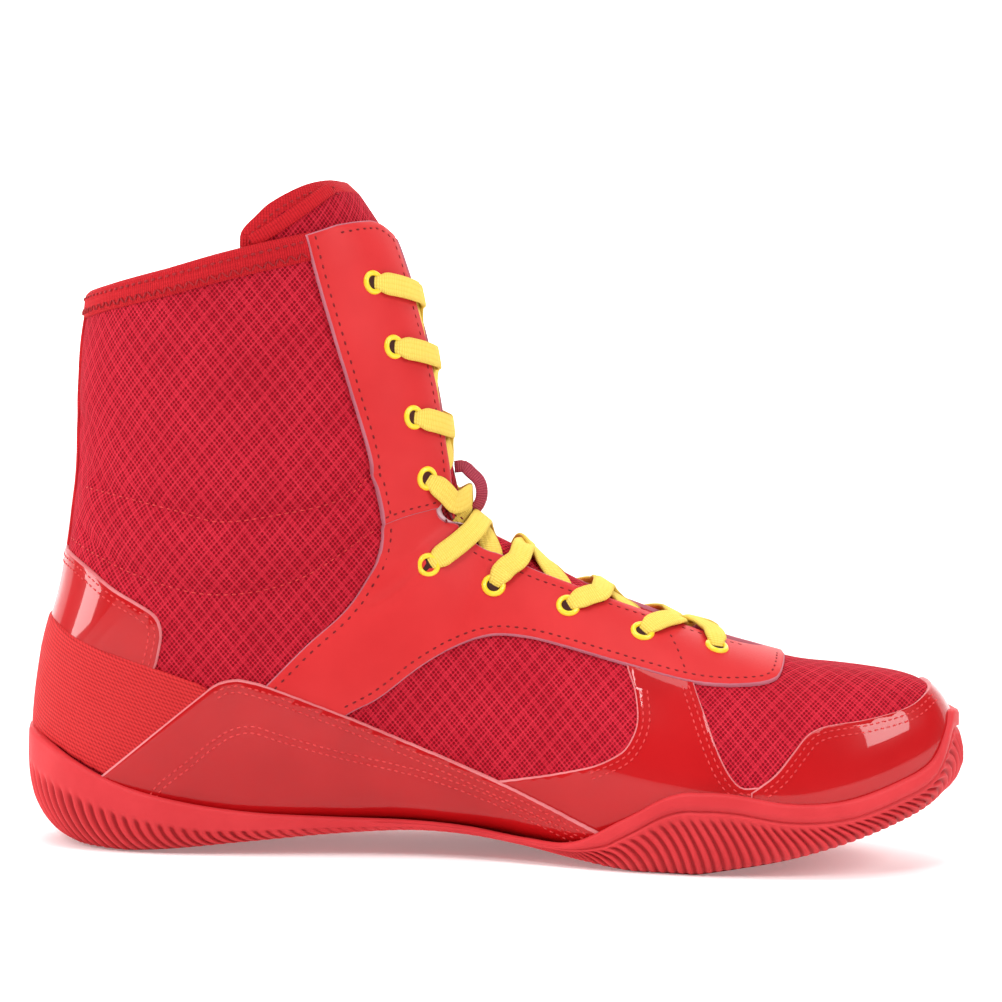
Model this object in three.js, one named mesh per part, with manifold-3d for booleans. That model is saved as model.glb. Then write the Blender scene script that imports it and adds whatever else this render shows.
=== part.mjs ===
// A left wrestling boot: flat rubber outsole, hollow mesh upper with a tall shaft,
// sewn overlays, tongue, eyelets and flat laces. Millimetres, +X to the toe, +Z up.
// The inner (medial) side of the foot is at -Y.
import * as THREE from 'three';
import { mergeVertices } from 'three/addons/utils/BufferGeometryUtils.js';
import Module from 'manifold-3d';

const wasm = await Module();
wasm.setup();

// Main sizes of the shoe
const SHOE_LENGTH = 290;
const BALL_WIDTH = 97;
const HEEL_WIDTH = 66;
const COLLAR_WIDTH = 78;
const BEND_RISE = 100;
const SHAFT_RISE = 85;

// Outsole
const SOLE_THICKNESS = 5.2;
const ARCH_LIFT = 8.3;
const TOE_SPRING = 23.3;
const RIM_HEIGHT = BEND_RISE / 4;
const RIM_WIDTH = 3.4;
const RIM_BAND = 5.6;
const GROOVE_DEPTH = 0.8;
const SOLE_TUCK = 8;
const RIB_PITCH = 8.4;
const RIB_DEPTH = 0.9;
// How far down the wall its points lie, under the band
const WALL_SHARES = [0.1, 0.5, 0.82];
// The power that rounds the wall's foot
const WALL_ROUND = 2.4;

// Walls, layers and gaps
const UPPER_WALL = 2;
const OVERLAY_THICKNESS = 1;
const TONGUE_THICKNESS = 3.4;
const INSOLE_THICKNESS = 3.6;
const BINDING_THICKNESS = 0.8;
const BINDING_HEIGHT = 7.6;
const BACK_STRIP_WIDTH = 9;
const CLEARANCE = 0.3;
const SEAM = CLEARANCE / 2 + 0.05;
const EYESTAY_TOP = CLEARANCE + OVERLAY_THICKNESS;

// The opening of the upper's underside, which the insole's middle fills
const LASTING_MARGIN = 14;
const FOREFOOT_TOP = BEND_RISE / 3;
const OPENING_START = 0.06;
const OPENING_END = 0.95;
const OPENING_STEP = 0.068;

// Throat, eyelets and laces
const THROAT_WIDTH = 26;
const THROAT_DEPTH = 12;
const THROAT_RISE = 7;
const NOTCH_HALF_WIDTH = 24;
const EYELET_RADIUS = 3.7;
const EYELET_BORE = 2.15;
const EYELET_FLANGE = 0.7;
const EYELET_SIDES = 7;
const FLANGE_SEAT = EYESTAY_TOP + 1.6 * CLEARANCE;
const LACE_WIDTH = 7;
const LACE_THICKNESS = 1.3;
const LACE_OVER_EYELET = FLANGE_SEAT + EYELET_FLANGE + 2.3 * CLEARANCE + LACE_THICKNESS / 2;
const LACE_OVER_STAY = EYESTAY_TOP + 4.6 * CLEARANCE + LACE_THICKNESS / 2;
const LACE_CROWN = 2.1;
const LACE_ON_TONGUE = -UPPER_WALL + 2 * CLEARANCE + LACE_THICKNESS / 2;
const LACE_STAY_REACH = 5;
const LACE_EDGE_REACH = 0.5;
// How far a lace has gone to the next row at the stay, its edge, the middle and beyond
const LACE_SHARES = { stay: 0.2, edge: 0.3, middle: 0.5, under: 0.66, farEdge: 0.75 };
const LOOP_WIDTH = 7;
const LOOP_THICKNESS = 1;
const LOOP_REACH = 6.5;
const LOOP_SPREAD = 3.0;
const LOOP_STEPS = 8;

// How far cutters and rays go past the form, in millimetres and in shares of the size
const CUT_REACH = BALL_WIDTH;
const RAY_START = 60;
const FLOOR_REACH = 20;
const PAST_HEEL = -0.05;
const PAST_TOE = 1.05;
const UNDER_RIM = -0.1;
const UNDER_BALL = -0.2;
const SEAT_START = -0.03;
const SEAT_END = 1.04;
const SEAT_STEP = 0.0535;

// Rows of numbers as records, their columns named once
function table(names, rows) {
  const keys = names.split(' ');
  return rows.map((row) => Object.fromEntries(keys.map((key, i) => [key, row[i]])));
}

// Side line of the sole. u is the share of the length from the heel; arch, spring, bed,
// rim and tuck are shares of ARCH_LIFT, TOE_SPRING, SOLE_THICKNESS, RIM_HEIGHT, SOLE_TUCK.
const SOLE_LINE = table('u arch spring bed rim tuck', [
  [0.00, 0.00, 0.00, 1.35, 1.43, 2.9],
  [0.05, -0.05, 0.00, 1.33, 1.14, 2.0],
  [0.10, -0.03, 0.00, 1.31, 0.88, 1.2],
  [0.16, 0.12, 0.00, 1.14, 0.64, 0.9],
  [0.24, 0.45, 0.00, 0.81, 0.39, 0.7],
  [0.33, 0.80, 0.00, 0.47, 0.22, 0.5],
  [0.41, 1.00, 0.00, 0.41, 0.13, 0.35],
  [0.47, 0.94, 0.00, 0.37, 0.10, 0.3],
  [0.53, 0.68, 0.00, 0.35, 0.09, 0.3],
  [0.58, 0.36, 0.00, 0.50, 0.20, 0.4],
  [0.63, 0.06, 0.00, 0.85, 0.62, 0.7],
  [0.67, -0.04, 0.00, 1.00, 0.92, 0.9],
  [0.70, -0.03, 0.00, 0.98, 1.01, 0.9],
  [0.74, 0.00, 0.07, 0.81, 0.94, 0.9],
  [0.80, 0.00, 0.22, 0.50, 0.70, 0.8],
  [0.86, 0.00, 0.43, 0.37, 0.54, 0.8],
  [0.92, 0.00, 0.70, 0.50, 0.51, 0.9],
  [0.955, 0.00, 0.91, 0.75, 0.53, 1.0],
  [0.975, 0.00, 1.04, 1.10, 0.78, 1.2],
  [0.985, 0.00, 1.11, 1.40, 0.90, 1.3],
  [1.00, 0.00, 1.22, 1.83, 0.78, 1.5],
]);

// Plan of the sole's rim. medial and lateral are shares of half the width that rules
// there: the heel's width behind, the ball's in front, blended between.
const PLAN = table('u medial lateral', [
  [0.000, 0.00, 0.00],
  [0.005, 0.31, 0.31],
  [0.020, 0.58, 0.58],
  [0.050, 0.82, 0.82],
  [0.100, 0.96, 0.97],
  [0.160, 1.00, 1.01],
  [0.250, 0.92, 1.02],
  [0.350, 0.74, 0.96],
  [0.440, 0.64, 0.90],
  [0.520, 0.68, 0.91],
  [0.600, 0.82, 0.95],
  [0.660, 0.94, 0.98],
  [0.710, 1.00, 0.97],
  [0.760, 1.01, 0.93],
  [0.820, 0.98, 0.83],
  [0.880, 0.89, 0.68],
  [0.930, 0.74, 0.49],
  [0.965, 0.58, 0.30],
  [0.985, 0.42, 0.14],
  [0.997, 0.27, -0.01],
  [1.000, 0.14, -0.14],
]);

// Upright sections of the foot, toe tip to instep. base and top are heights, as shares
// from the last's underside to the ankle bend; fill is the share of the rim's width;
// inner, outer and crown round the medial foot, lateral foot and top; wide is how far up
// the section is widest; ridge is the top's place across, as a share of BALL_WIDTH.
const FOOT_SECTIONS = table('u base top fill inner outer crown wide ridge', [
  [0.981, 0.12, 0.19, 0.35, 0.9, 0.9, 0.85, 0.5, -0.072],
  [0.976, 0.080, 0.235, 0.72, 0.60, 0.60, 0.72, 0.42, -0.07],
  [0.967, 0.045, 0.311, 0.93, 0.50, 0.50, 0.64, 0.38, -0.069],
  [0.952, 0.015, 0.391, 1.0, 0.42, 0.42, 0.60, 0.35, -0.067],
  [0.931, 0.005, 0.444, 1.0, 0.38, 0.38, 0.60, 0.32, -0.063],
  [0.903, 0, 0.482, 1.0, 0.36, 0.36, 0.62, 0.30, -0.058],
  [0.862, 0, 0.521, 1.0, 0.35, 0.35, 0.66, 0.28, -0.05],
  [0.810, 0, 0.555, 1.0, 0.35, 0.35, 0.72, 0.26, -0.042],
  [0.741, 0, 0.620, 1.0, 0.35, 0.35, 0.82, 0.25, -0.033],
  [0.672, 0, 0.700, 1.0, 0.36, 0.36, 0.92, 0.24, -0.025],
  [0.603, 0, 0.788, 1.02, 0.42, 0.38, 1.0, 0.23, -0.018],
  [0.545, 0, 0.866, 1.04, 0.58, 0.39, 1.0, 0.23, -0.012],
]);

// Slanted sections fanned about the ankle bend, arch to ankle. back and front points are
// shares of the length and height; half is a share of half HEEL_WIDTH, as are shift (of
// the back point across) and ridge.
const ANKLE_SECTIONS = table('bu bh fu fh half shift inner outer crown wide', [
  [0.500, 0.000, 0.503, 0.930, 1.03, 0.16, 0.68, 0.40, 1.0, 0.24],
  [0.414, 0.000, 0.490, 0.949, 0.98, 0.15, 0.72, 0.42, 1.0, 0.27],
  [0.328, 0.000, 0.479, 0.970, 0.97, 0.10, 0.60, 0.40, 1.0, 0.32],
  [0.241, 0.000, 0.472, 0.987, 0.97, 0.04, 0.44, 0.38, 0.98, 0.36],
  [0.155, 0.002, 0.468, 1.009, 0.965, 0, 0.38, 0.38, 0.96, 0.40],
  [0.086, 0.006, 0.464, 1.033, 0.965, 0, 0.38, 0.38, 0.95, 0.42],
  [0.034, 0.050, 0.461, 1.080, 0.98, 0, 0.47, 0.47, 0.95, 0.46],
  [0.011, 0.214, 0.458, 1.127, 1.02, 0, 0.80, 0.80, 0.95, 0.5],
  [0.016, 0.509, 0.453, 1.186, 1.07, 0, 0.97, 0.97, 0.94, 0.5],
  [0.033, 0.723, 0.447, 1.245, 1.11, 0, 1.0, 1.0, 0.92, 0.5],
]);

// Sections of the shaft, ankle to above the collar; half is a share of half COLLAR_WIDTH.
const SHAFT_SECTIONS = table('bu bh fu fh half', [
  [0.038, 0.805, 0.443, 1.292, 0.950],
  [0.048, 1.115, 0.429, 1.480, 0.960],
  [0.047, 1.433, 0.414, 1.680, 0.980],
  [0.056, 1.739, 0.391, 1.904, 1.000],
  [0.060, 1.880, 0.374, 2.015, 1.010],
  [0.069, 2.120, 0.312, 2.290, 1.030],
]);
const SHAFT_ROUND = { inner: 1.0, outer: 1.0, crown: 0.9, wide: 0.5, shift: 0 };

// Side outlines as [share of length, share of height]. Heights run from 0 at the last's
// underside to 1 at the ankle bend and 2 at the top of the eyestay.
const COLLAR_LINE = [
  [-0.05, 1.70], [0.056, 1.741], [0.149, 1.819], [0.202, 1.872], [0.291, 1.955],
];
const STAY_TOP = [[0.319, 1.992], [0.357, 2.013], [0.373, 1.978], [0.384, 1.935], [0.397, 1.856]];
const SHAFT_STAY_BACK = [[0.304, 1.793], [0.320, 1.619], [0.338, 1.435], [0.357, 1.228], [0.370, 1.044]];
const STAY_SEAM = [[0.376, 0.955], [0.430, 1.006]];
const NOTCH = [[0.430, 1.006], [0.437, 1.028], [0.50, 1.055], [0.50, 0.96], [0.445, 0.956], [0.434, 0.978]];
const VAMP_STRAP_BACK = [[0.373, 0.863], [0.366, 0.808], [0.341, 0.687], [0.301, 0.574], [0.261, 0.451]];
const VAMP_STAY_EDGE = [
  [0.344, 0.356], [0.377, 0.407], [0.420, 0.507], [0.456, 0.572], [0.492, 0.612], [0.530, 0.615],
  [0.566, 0.599], [0.633, 0.555], [0.702, 0.509], [0.751, 0.497], [0.788, 0.509], [0.802, 0.559],
];
const WING_TOP = [
  [0.091, 0.163], [0.203, 0.444], [0.213, 0.461], [0.234, 0.470], [0.261, 0.451], [0.344, 0.356],
  [0.397, 0.284], [0.521, 0.154], [0.608, 0.067],
];
const STRAP_TOP = [[-0.05, 0.70], [0.026, 0.636], [0.066, 0.573], [0.138, 0.509], [0.203, 0.444]];
const COUNTER_TOP = [
  [0.036, 0.852], [0.067, 0.805], [0.102, 0.737],
  [0.130, 0.695], [0.147, 0.662], [0.153, 0.616],
];
const BALL_BACK = [
  [0.633, 0.555], [0.641, 0.485], [0.644, 0.401],
  [0.639, 0.350], [0.628, 0.305], [0.594, 0.253],
];
const BALL_FRONT = [
  [0.702, 0.509], [0.712, 0.428], [0.726, 0.319],
  [0.739, 0.246], [0.751, 0.211], [0.768, 0.209],
];
const TOE_CAP_TOP = [
  [0.768, 0.209], [0.785, 0.244], [0.803, 0.302], [0.818, 0.347], [0.836, 0.363], [0.881, 0.357],
  [0.926, 0.354], [0.948, 0.373],
];
const TONGUE_SIDE = [
  [0.330, 2.185], [0.265, 2.041], [0.223, 1.928], [0.245, 1.6], [0.31, 1.22], [0.37, 0.92], [0.44, 0.76],
  [0.53, 0.64], [0.63, 0.55], [0.72, 0.48], [0.82, 0.45],
];
const EYELETS = [
  [0.358, 1.798], [0.380, 1.574], [0.401, 1.327], [0.418, 1.114], [0.424, 0.825], [0.493, 0.764],
  [0.571, 0.713], [0.649, 0.646], [0.727, 0.600],
];
// Where the tongue's loop stands on the front line
const LOOP_BEND = [0.458, 1.142];
// Half gap of the throat along the front line, as a share of half THROAT_WIDTH
const THROAT_GAP = table('u gap', [
  [0.30, 0.95],
  [0.42, 0.95],
  [0.50, 1.0],
  [0.60, 0.95],
  [0.70, 0.8],
  [0.75, 0.62],
  [0.775, 0.35],
  [0.783, 0.12],
]);
// Where the throat's end is cut, toeward first
const THROAT_END = [0.783, 0.775, 0.762];

const COLORS = {
  crimson: 0xb8142a,
  coral: 0xe23b3b,
  patent: 0xc81418,
  rubber: 0xe2444a,
  webbing: 0xd03030,
  yellow: 0xf2d02c,
  ring: 0xf2c60c,
  ribbon: 0xa02030,
  lining: 0x8c1420,
};

// A smooth value of one column at u
function column(rows, name, u) {
  const last = rows.length - 1;
  const at = Math.min(Math.max(u, rows[0].u), rows[last].u);
  let i = 0;
  while (i < last - 1 && at > rows[i + 1].u) i += 1;
  const slope = (a, b) => (rows[b][name] - rows[a][name]) / (rows[b].u - rows[a].u);
  const span = rows[i + 1].u - rows[i].u;
  const t = (at - rows[i].u) / span;
  const start = slope(Math.max(i - 1, 0), i + 1) * span;
  const end = slope(i, Math.min(i + 2, last)) * span;
  const h00 = 2 * t ** 3 - 3 * t ** 2 + 1;
  const h10 = t ** 3 - 2 * t ** 2 + t;
  const h11 = t ** 3 - t ** 2;
  return h00 * rows[i][name] + h10 * start + (1 - h00) * rows[i + 1][name] + h11 * end;
}

const tread = (u) => Math.max(0, ARCH_LIFT * column(SOLE_LINE, 'arch', u)
  + TOE_SPRING * column(SOLE_LINE, 'spring', u));
const seat = (u) => tread(u) + SOLE_THICKNESS * column(SOLE_LINE, 'bed', u);
const rim = (u) => tread(u) + RIM_HEIGHT * column(SOLE_LINE, 'rim', u);

// The place in millimetres of a point given by its shares of length and height
function sidePoint(u, h) {
  const bend = SOLE_THICKNESS + BEND_RISE;
  const z = h <= 1 ? (1 - h) * seat(u) + h * bend : bend + (h - 1) * SHAFT_RISE;
  return new THREE.Vector2(u * SHOE_LENGTH, z);
}

function rulingHalfWidth(u) {
  const blend = THREE.MathUtils.smoothstep(u, 0.2, 0.65);
  return THREE.MathUtils.lerp(HEEL_WIDTH, BALL_WIDTH, blend) / 2;
}

// The sections of the foot, ankle and shaft in millimetres, toe tip first
function sections() {
  const foot = FOOT_SECTIONS.map((row) => {
    const medial = column(PLAN, 'medial', row.u) * rulingHalfWidth(row.u);
    const lateral = column(PLAN, 'lateral', row.u) * rulingHalfWidth(row.u);
    return {
      ...row,
      back: sidePoint(row.u, row.base),
      front: sidePoint(row.u, row.top),
      half: ((medial + lateral) / 2 - RIM_WIDTH) * row.fill,
      shift: (lateral - medial) / 2,
      ridge: row.ridge * BALL_WIDTH,
    };
  });
  const slanted = (rows, halfWidth, shape) => rows.map((row) => ({
    ...shape,
    ...row,
    back: sidePoint(row.bu, row.bh),
    front: sidePoint(row.fu, row.fh),
    half: row.half * halfWidth,
    shift: (row.shift ?? 0) * halfWidth,
    ridge: 0,
  }));
  return [...foot, ...slanted(ANKLE_SECTIONS, HEEL_WIDTH / 2, {}),
    ...slanted(SHAFT_SECTIONS, COLLAR_WIDTH / 2, SHAFT_ROUND)];
}
const SECTIONS = sections();
const RING_HALF = 10;

// A point of a section's ring: turn runs 0 at the back point to PI at the front point
function ringPoint(section, turn, side) {
  const power = Math.log(section.wide) / Math.log(0.5);
  const share = ((1 - Math.cos(turn)) / 2) ** power;
  const foot = side < 0 ? section.inner : section.outer;
  const blend = THREE.MathUtils.smoothstep(turn, 0.2, Math.PI - 0.2);
  const round = THREE.MathUtils.lerp(foot, section.crown, blend);
  const middle = THREE.MathUtils.lerp(section.shift, section.ridge, share);
  const place = section.back.clone().lerp(section.front, share);
  return new THREE.Vector3(place.x, middle + side * section.half * Math.sin(turn) ** round, place.y);
}

// A closed mesh through rings of equal counts, its two ends closed by fans
function loft(rings) {
  const count = rings[0].length;
  const position = rings.flat().flatMap((p) => [p.x, p.y, p.z]);
  const index = [];
  for (let i = 0; i < rings.length - 1; i += 1) {
    for (let j = 0; j < count; j += 1) {
      const k = (j + 1) % count;
      const a = i * count;
      const b = a + count;
      index.push(a + j, b + j, b + k, a + j, b + k, a + k);
    }
  }
  [0, rings.length - 1].forEach((ringAt) => {
    const ring = rings[ringAt];
    const middle = ring.reduce((sum, p) => sum.add(p), new THREE.Vector3()).divideScalar(count);
    const centre = position.length / 3;
    position.push(middle.x, middle.y, middle.z);
    for (let j = 0; j < count; j += 1) {
      const near = ringAt * count + j;
      const next = ringAt * count + ((j + 1) % count);
      index.push(...(ringAt === 0 ? [centre, near, next] : [centre, next, near]));
    }
  });
  const geometry = new THREE.BufferGeometry();
  geometry.setAttribute('position', new THREE.Float32BufferAttribute(position, 3));
  geometry.setIndex(index);
  return geometry;
}

function formRings() {
  return SECTIONS.map((section) => {
    const ring = [];
    const turn = Math.PI / RING_HALF;
    for (let j = 0; j < RING_HALF; j += 1) ring.push(ringPoint(section, turn * j, 1));
    for (let j = RING_HALF; j > 0; j -= 1) ring.push(ringPoint(section, turn * j, -1));
    return ring;
  });
}
const FORM = loft(formRings());
FORM.computeVertexNormals();
const FORM_MESH = new THREE.Mesh(FORM, new THREE.MeshBasicMaterial({ side: THREE.DoubleSide }));

function toSolid(geometry) {
  const bare = geometry.clone();
  bare.deleteAttribute('normal');
  bare.deleteAttribute('uv');
  const merged = mergeVertices(bare, 1e-4);
  return new wasm.Manifold(new wasm.Mesh({ numProp: 3,
    vertProperties: new Float32Array(merged.attributes.position.array),
    triVerts: new Uint32Array(merged.index.array) }));
}

// The upper's outer form, grown by an offset along its normals
function form(offset) {
  const grown = FORM.clone();
  const place = grown.attributes.position;
  const normal = FORM.attributes.normal;
  for (let i = 0; i < place.count; i += 1) {
    place.setXYZ(i, place.getX(i) + offset * normal.getX(i), place.getY(i) + offset * normal.getY(i),
      place.getZ(i) + offset * normal.getZ(i));
  }
  grown.deleteAttribute('normal');
  return toSolid(grown);
}

// A prism across the shoe whose section is a side outline in millimetres
function prism(outline, from = -CUT_REACH, to = CUT_REACH) {
  const clean = THREE.ShapeUtils.area(outline) < 0 ? outline.slice().reverse() : outline;
  const geometry = new THREE.ExtrudeGeometry(new THREE.Shape(clean),
    { depth: to - from, bevelEnabled: false });
  geometry.rotateX(Math.PI / 2);
  geometry.translate(0, to, 0);
  return toSolid(geometry);
}

// The outline with each edge moved inwards by the gap
function inset(outline, gap) {
  const turned = THREE.ShapeUtils.area(outline) < 0 ? outline.slice().reverse() : outline;
  return turned.map((point, i) => {
    const before = turned[(i + turned.length - 1) % turned.length];
    const after = turned[(i + 1) % turned.length];
    const inA = point.clone().sub(before).normalize();
    const inB = after.clone().sub(point).normalize();
    const normalA = new THREE.Vector2(-inA.y, inA.x);
    const normalB = new THREE.Vector2(-inB.y, inB.x);
    const mitre = normalA.clone().add(normalB).normalize();
    return point.clone().addScaledVector(mitre, gap / Math.max(0.35, mitre.dot(normalA)));
  });
}

const side = (pairs) => pairs.map(([u, h]) => sidePoint(u, h));

// A shell between two offsets of the form
const shell = (from, to) => form(to).subtract(form(from));

// The front line of the form with its outward normals in the side view
function frontLine() {
  return SECTIONS.map((section, i) => {
    const before = SECTIONS[Math.max(i - 1, 0)].front;
    const after = SECTIONS[Math.min(i + 1, SECTIONS.length - 1)].front;
    const along = after.clone().sub(before).normalize();
    return {
      u: section.front.x / SHOE_LENGTH,
      point: section.front,
      y: section.ridge,
      normal: new THREE.Vector2(along.y, -along.x),
    };
  });
}
const FRONT = frontLine();

// The front line at a fraction of the way between two sections
function frontAt(place) {
  const i = Math.min(Math.floor(place), FRONT.length - 2);
  const share = place - i;
  const [a, b] = [FRONT[i], FRONT[i + 1]];
  return {
    u: THREE.MathUtils.lerp(a.u, b.u, share),
    point: a.point.clone().lerp(b.point, share),
    y: THREE.MathUtils.lerp(a.y, b.y, share),
    normal: a.normal.clone().lerp(b.normal, share).normalize(),
  };
}

// What the throat takes away, from its end near the toe up past the eyestays
function throatCutter() {
  const first = FRONT.findIndex((stop) => stop.u < THROAT_END[0]);
  const [toeward, heelward] = [FRONT[first - 1].u, FRONT[first].u];
  const ends = THROAT_END.map((u) => frontAt(first - 1 + (toeward - u) / (toeward - heelward)));
  return toSolid(loft([...ends, ...FRONT.slice(first)].map((stop) => {
    const half = (column(THROAT_GAP, 'gap', stop.u) * THROAT_WIDTH) / 2;
    const corner = (y, depth) => new THREE.Vector3(stop.point.x + stop.normal.x * depth, stop.y + y,
      stop.point.y + stop.normal.y * depth);
    return [corner(-half, -THROAT_DEPTH), corner(half, -THROAT_DEPTH), corner(half, THROAT_RISE),
      corner(-half, THROAT_RISE)];
  })));
}
const THROAT = throatCutter();
const NOTCH_CUT = prism(side(NOTCH), -NOTCH_HALF_WIDTH, NOTCH_HALF_WIDTH);

// What lies above the collar and the tops of the eyestays, moved down by a drop
function aboveCollar(drop) {
  const line = [...side(COLLAR_LINE), ...side(STAY_TOP)].map((p) => new THREE.Vector2(p.x, p.y - drop));
  const last = line[line.length - 1];
  const sky = last.y + CUT_REACH;
  line.push(new THREE.Vector2(last.x + CUT_REACH, last.y - CUT_REACH / 2));
  line.push(new THREE.Vector2(last.x + CUT_REACH, sky));
  line.push(new THREE.Vector2(line[0].x, sky));
  return prism(line);
}

// Plan outline inside the rim, shrunk by a width, as a prism between two heights
function planPrism(shrink, low, high) {
  const rows = [];
  for (let u = OPENING_START; u < OPENING_END; u += OPENING_STEP) rows.push(u);
  const edge = (name, sign) => rows.map((u) => new THREE.Vector2(u * SHOE_LENGTH,
    sign * (column(PLAN, name, u) * rulingHalfWidth(u) - shrink)));
  const outline = [...edge('medial', -1), ...edge('lateral', 1).reverse()];
  const geometry = new THREE.ExtrudeGeometry(new THREE.Shape(outline),
    { depth: high - low, bevelEnabled: false });
  geometry.translate(0, 0, low);
  return toSolid(geometry);
}

// Everything below a line at a given height over the last's underside
function belowSeat(height) {
  const line = [];
  for (let u = SEAT_START; u <= SEAT_END; u += SEAT_STEP) {
    line.push(new THREE.Vector2(u * SHOE_LENGTH, seat(Math.min(Math.max(u, 0), 1)) + height));
  }
  line.push(new THREE.Vector2(SEAT_END * SHOE_LENGTH, -FLOOR_REACH));
  line.push(new THREE.Vector2(SEAT_START * SHOE_LENGTH, -FLOOR_REACH));
  return prism(line);
}

// The hollow upper, open at the collar, the throat and under the foot
function makeUpper() {
  const opening = planPrism(RIM_WIDTH + LASTING_MARGIN, -FLOOR_REACH, FOREFOOT_TOP)
    .intersect(belowSeat(UPPER_WALL + 1));
  return shell(-UPPER_WALL, 0).subtract(aboveCollar(BINDING_THICKNESS + CLEARANCE)).subtract(THROAT)
    .subtract(NOTCH_CUT).subtract(opening);
}

// The insole, with a middle that drops into the opening of the upper's underside
function makeInsole() {
  const inside = form(-UPPER_WALL - CLEARANCE)
    .intersect(belowSeat(UPPER_WALL + CLEARANCE + INSOLE_THICKNESS));
  const filler = planPrism(RIM_WIDTH + LASTING_MARGIN + CLEARANCE, -FLOOR_REACH, FOREFOOT_TOP)
    .intersect(form(0)).intersect(belowSeat(UPPER_WALL + 1 - CLEARANCE));
  return inside.add(filler);
}

// The padded tongue, inside the upper from the toe to above the collar
function makeTongue() {
  const outline = side(TONGUE_SIDE);
  const toe = outline[outline.length - 1];
  outline.push(new THREE.Vector2(toe.x, toe.y + CUT_REACH / 2));
  outline.push(new THREE.Vector2(0.5 * SHOE_LENGTH, outline[0].y));
  const outer = -UPPER_WALL - CLEARANCE;
  return shell(outer - TONGUE_THICKNESS, outer).intersect(prism(outline));
}

// Points of one side of the sole's rim, evenly spaced along it from heel to toe
function rimSide(name, sign, count) {
  const fine = [];
  for (let i = 0; i <= 400; i += 1) {
    const u = (1 - Math.cos((Math.PI * i) / 400)) / 2;
    fine.push(new THREE.Vector3(u * SHOE_LENGTH, sign * column(PLAN, name, u) * rulingHalfWidth(u), 0));
  }
  return new THREE.CatmullRomCurve3(fine).getSpacedPoints(count);
}

// The sole's whole body before the last is taken out, its rim raised by an amount
function soleBody(raise) {
  const count = Math.round((1.12 * SHOE_LENGTH) / (RIB_PITCH / 2));
  const medial = rimSide('medial', -1, count);
  const lateral = rimSide('lateral', 1, count);
  const loop = [...medial, ...lateral.slice(1, -1).reverse()];
  const total = loop.length;
  const profile = loop.map((point, i) => {
    const along = loop[(i + 1) % total].clone().sub(loop[(i + total - 1) % total]).normalize();
    const out = new THREE.Vector3(along.y, -along.x, 0);
    const u = point.x / SHOE_LENGTH;
    const tuck = SOLE_TUCK * column(SOLE_LINE, 'tuck', u);
    const foot = point.clone().addScaledVector(out, -tuck);
    const low = tread(foot.x / SHOE_LENGTH);
    const top = Math.max(rim(u), seat(u) + CLEARANCE) + raise;
    const rise = top - low;
    const band = Math.min(RIM_BAND, rise * 0.45);
    const ribbed = (i % 2 ? -1 : 0) * RIB_DEPTH * Math.min(1, rise / RIM_HEIGHT + 0.3);
    const place = (depth, z) => new THREE.Vector3(point.x - out.x * depth, point.y - out.y * depth, z);
    const wall = (share) => {
      const bulge = tuck * (1 - (1 - share ** WALL_ROUND) ** (1 / WALL_ROUND));
      return place(GROOVE_DEPTH / 3 - ribbed + bulge, top - band - share * (rise - band));
    };
    return [place(1, top), place(0, top - band * 0.2), place(0, top - band * 0.9),
      place(GROOVE_DEPTH, top - band), ...WALL_SHARES.map(wall), new THREE.Vector3(foot.x, foot.y, low)];
  });
  const levels = profile[0].length;
  const position = profile.flat().flatMap((p) => [p.x, p.y, p.z]);
  const index = [];
  for (let i = 0; i < total; i += 1) {
    const a = i * levels;
    const b = ((i + 1) % total) * levels;
    for (let j = 0; j < levels - 1; j += 1) {
      index.push(a + j, a + j + 1, b + j + 1, a + j, b + j + 1, b + j);
    }
  }
  const pair = (i) => (total - i) % total;
  for (let i = 0; i < count; i += 1) {
    const [a, b, c, d] = [i, i + 1, pair(i + 1), pair(i)].map((k) => k * levels);
    const faces = [];
    if (i < count - 1) faces.push([a, b, c]);
    if (i === count - 1) faces.push([a, b, d]);
    if (i > 0 && i < count - 1) faces.push([a, c, d]);
    faces.forEach(([p, q, r]) => {
      const foot = levels - 1;
      index.push(p, q, r, r + foot, q + foot, p + foot);
    });
  }
  const geometry = new THREE.BufferGeometry();
  geometry.setAttribute('position', new THREE.Float32BufferAttribute(position, 3));
  geometry.setIndex(index);
  return toSolid(geometry);
}

// Overlays lie in one layer over the upper, clear of the sole and of the last's underside
const OUTER = shell(CLEARANCE, CLEARANCE + OVERLAY_THICKNESS).subtract(soleBody(CLEARANCE))
  .subtract(belowSeat(OVERLAY_THICKNESS + CLEARANCE));

// A panel of that layer inside a closed side outline
function panel(outline, across = [-CUT_REACH, CUT_REACH]) {
  return OUTER.intersect(prism(inset(outline, SEAM), across[0], across[1]));
}

// The heel counter, above the strap
function makeCounter() {
  return panel([...side([[PAST_HEEL, 0.86], ...COUNTER_TOP, [0.151, 0.561], [0.146, 0.502]]),
    ...side(STRAP_TOP.slice(0, -1)).reverse()]);
}

// The elastic strap round the heel, down to the rim and forward to the wings
function makeStrap() {
  return panel(side([...STRAP_TOP, WING_TOP[0], [0.08, UNDER_RIM], [PAST_HEEL, UNDER_RIM]]));
}

const ACROSS = { medial: [-CUT_REACH, 0], lateral: [0, CUT_REACH] };

// The wing along the midfoot, from the heel strap to the ball
function makeWing(name) {
  return panel(side([...WING_TOP, [0.625, UNDER_RIM], [0.08, UNDER_RIM]]), ACROSS[name]);
}

// The panel at the ball of the foot, up to the eyestay
function makeBallPanel(name) {
  return panel(side([...BALL_BACK, ...WING_TOP.slice(-2), [0.625, UNDER_RIM], [0.768, UNDER_BALL],
    ...BALL_FRONT.slice().reverse()]), ACROSS[name]);
}

// The toe cap, round the toe above the rim
function makeToeCap() {
  return panel(side([...TOE_CAP_TOP, [0.948, 0.62], [PAST_TOE, 0.62], [PAST_TOE, UNDER_BALL],
    [0.768, UNDER_BALL]]));
}

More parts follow.
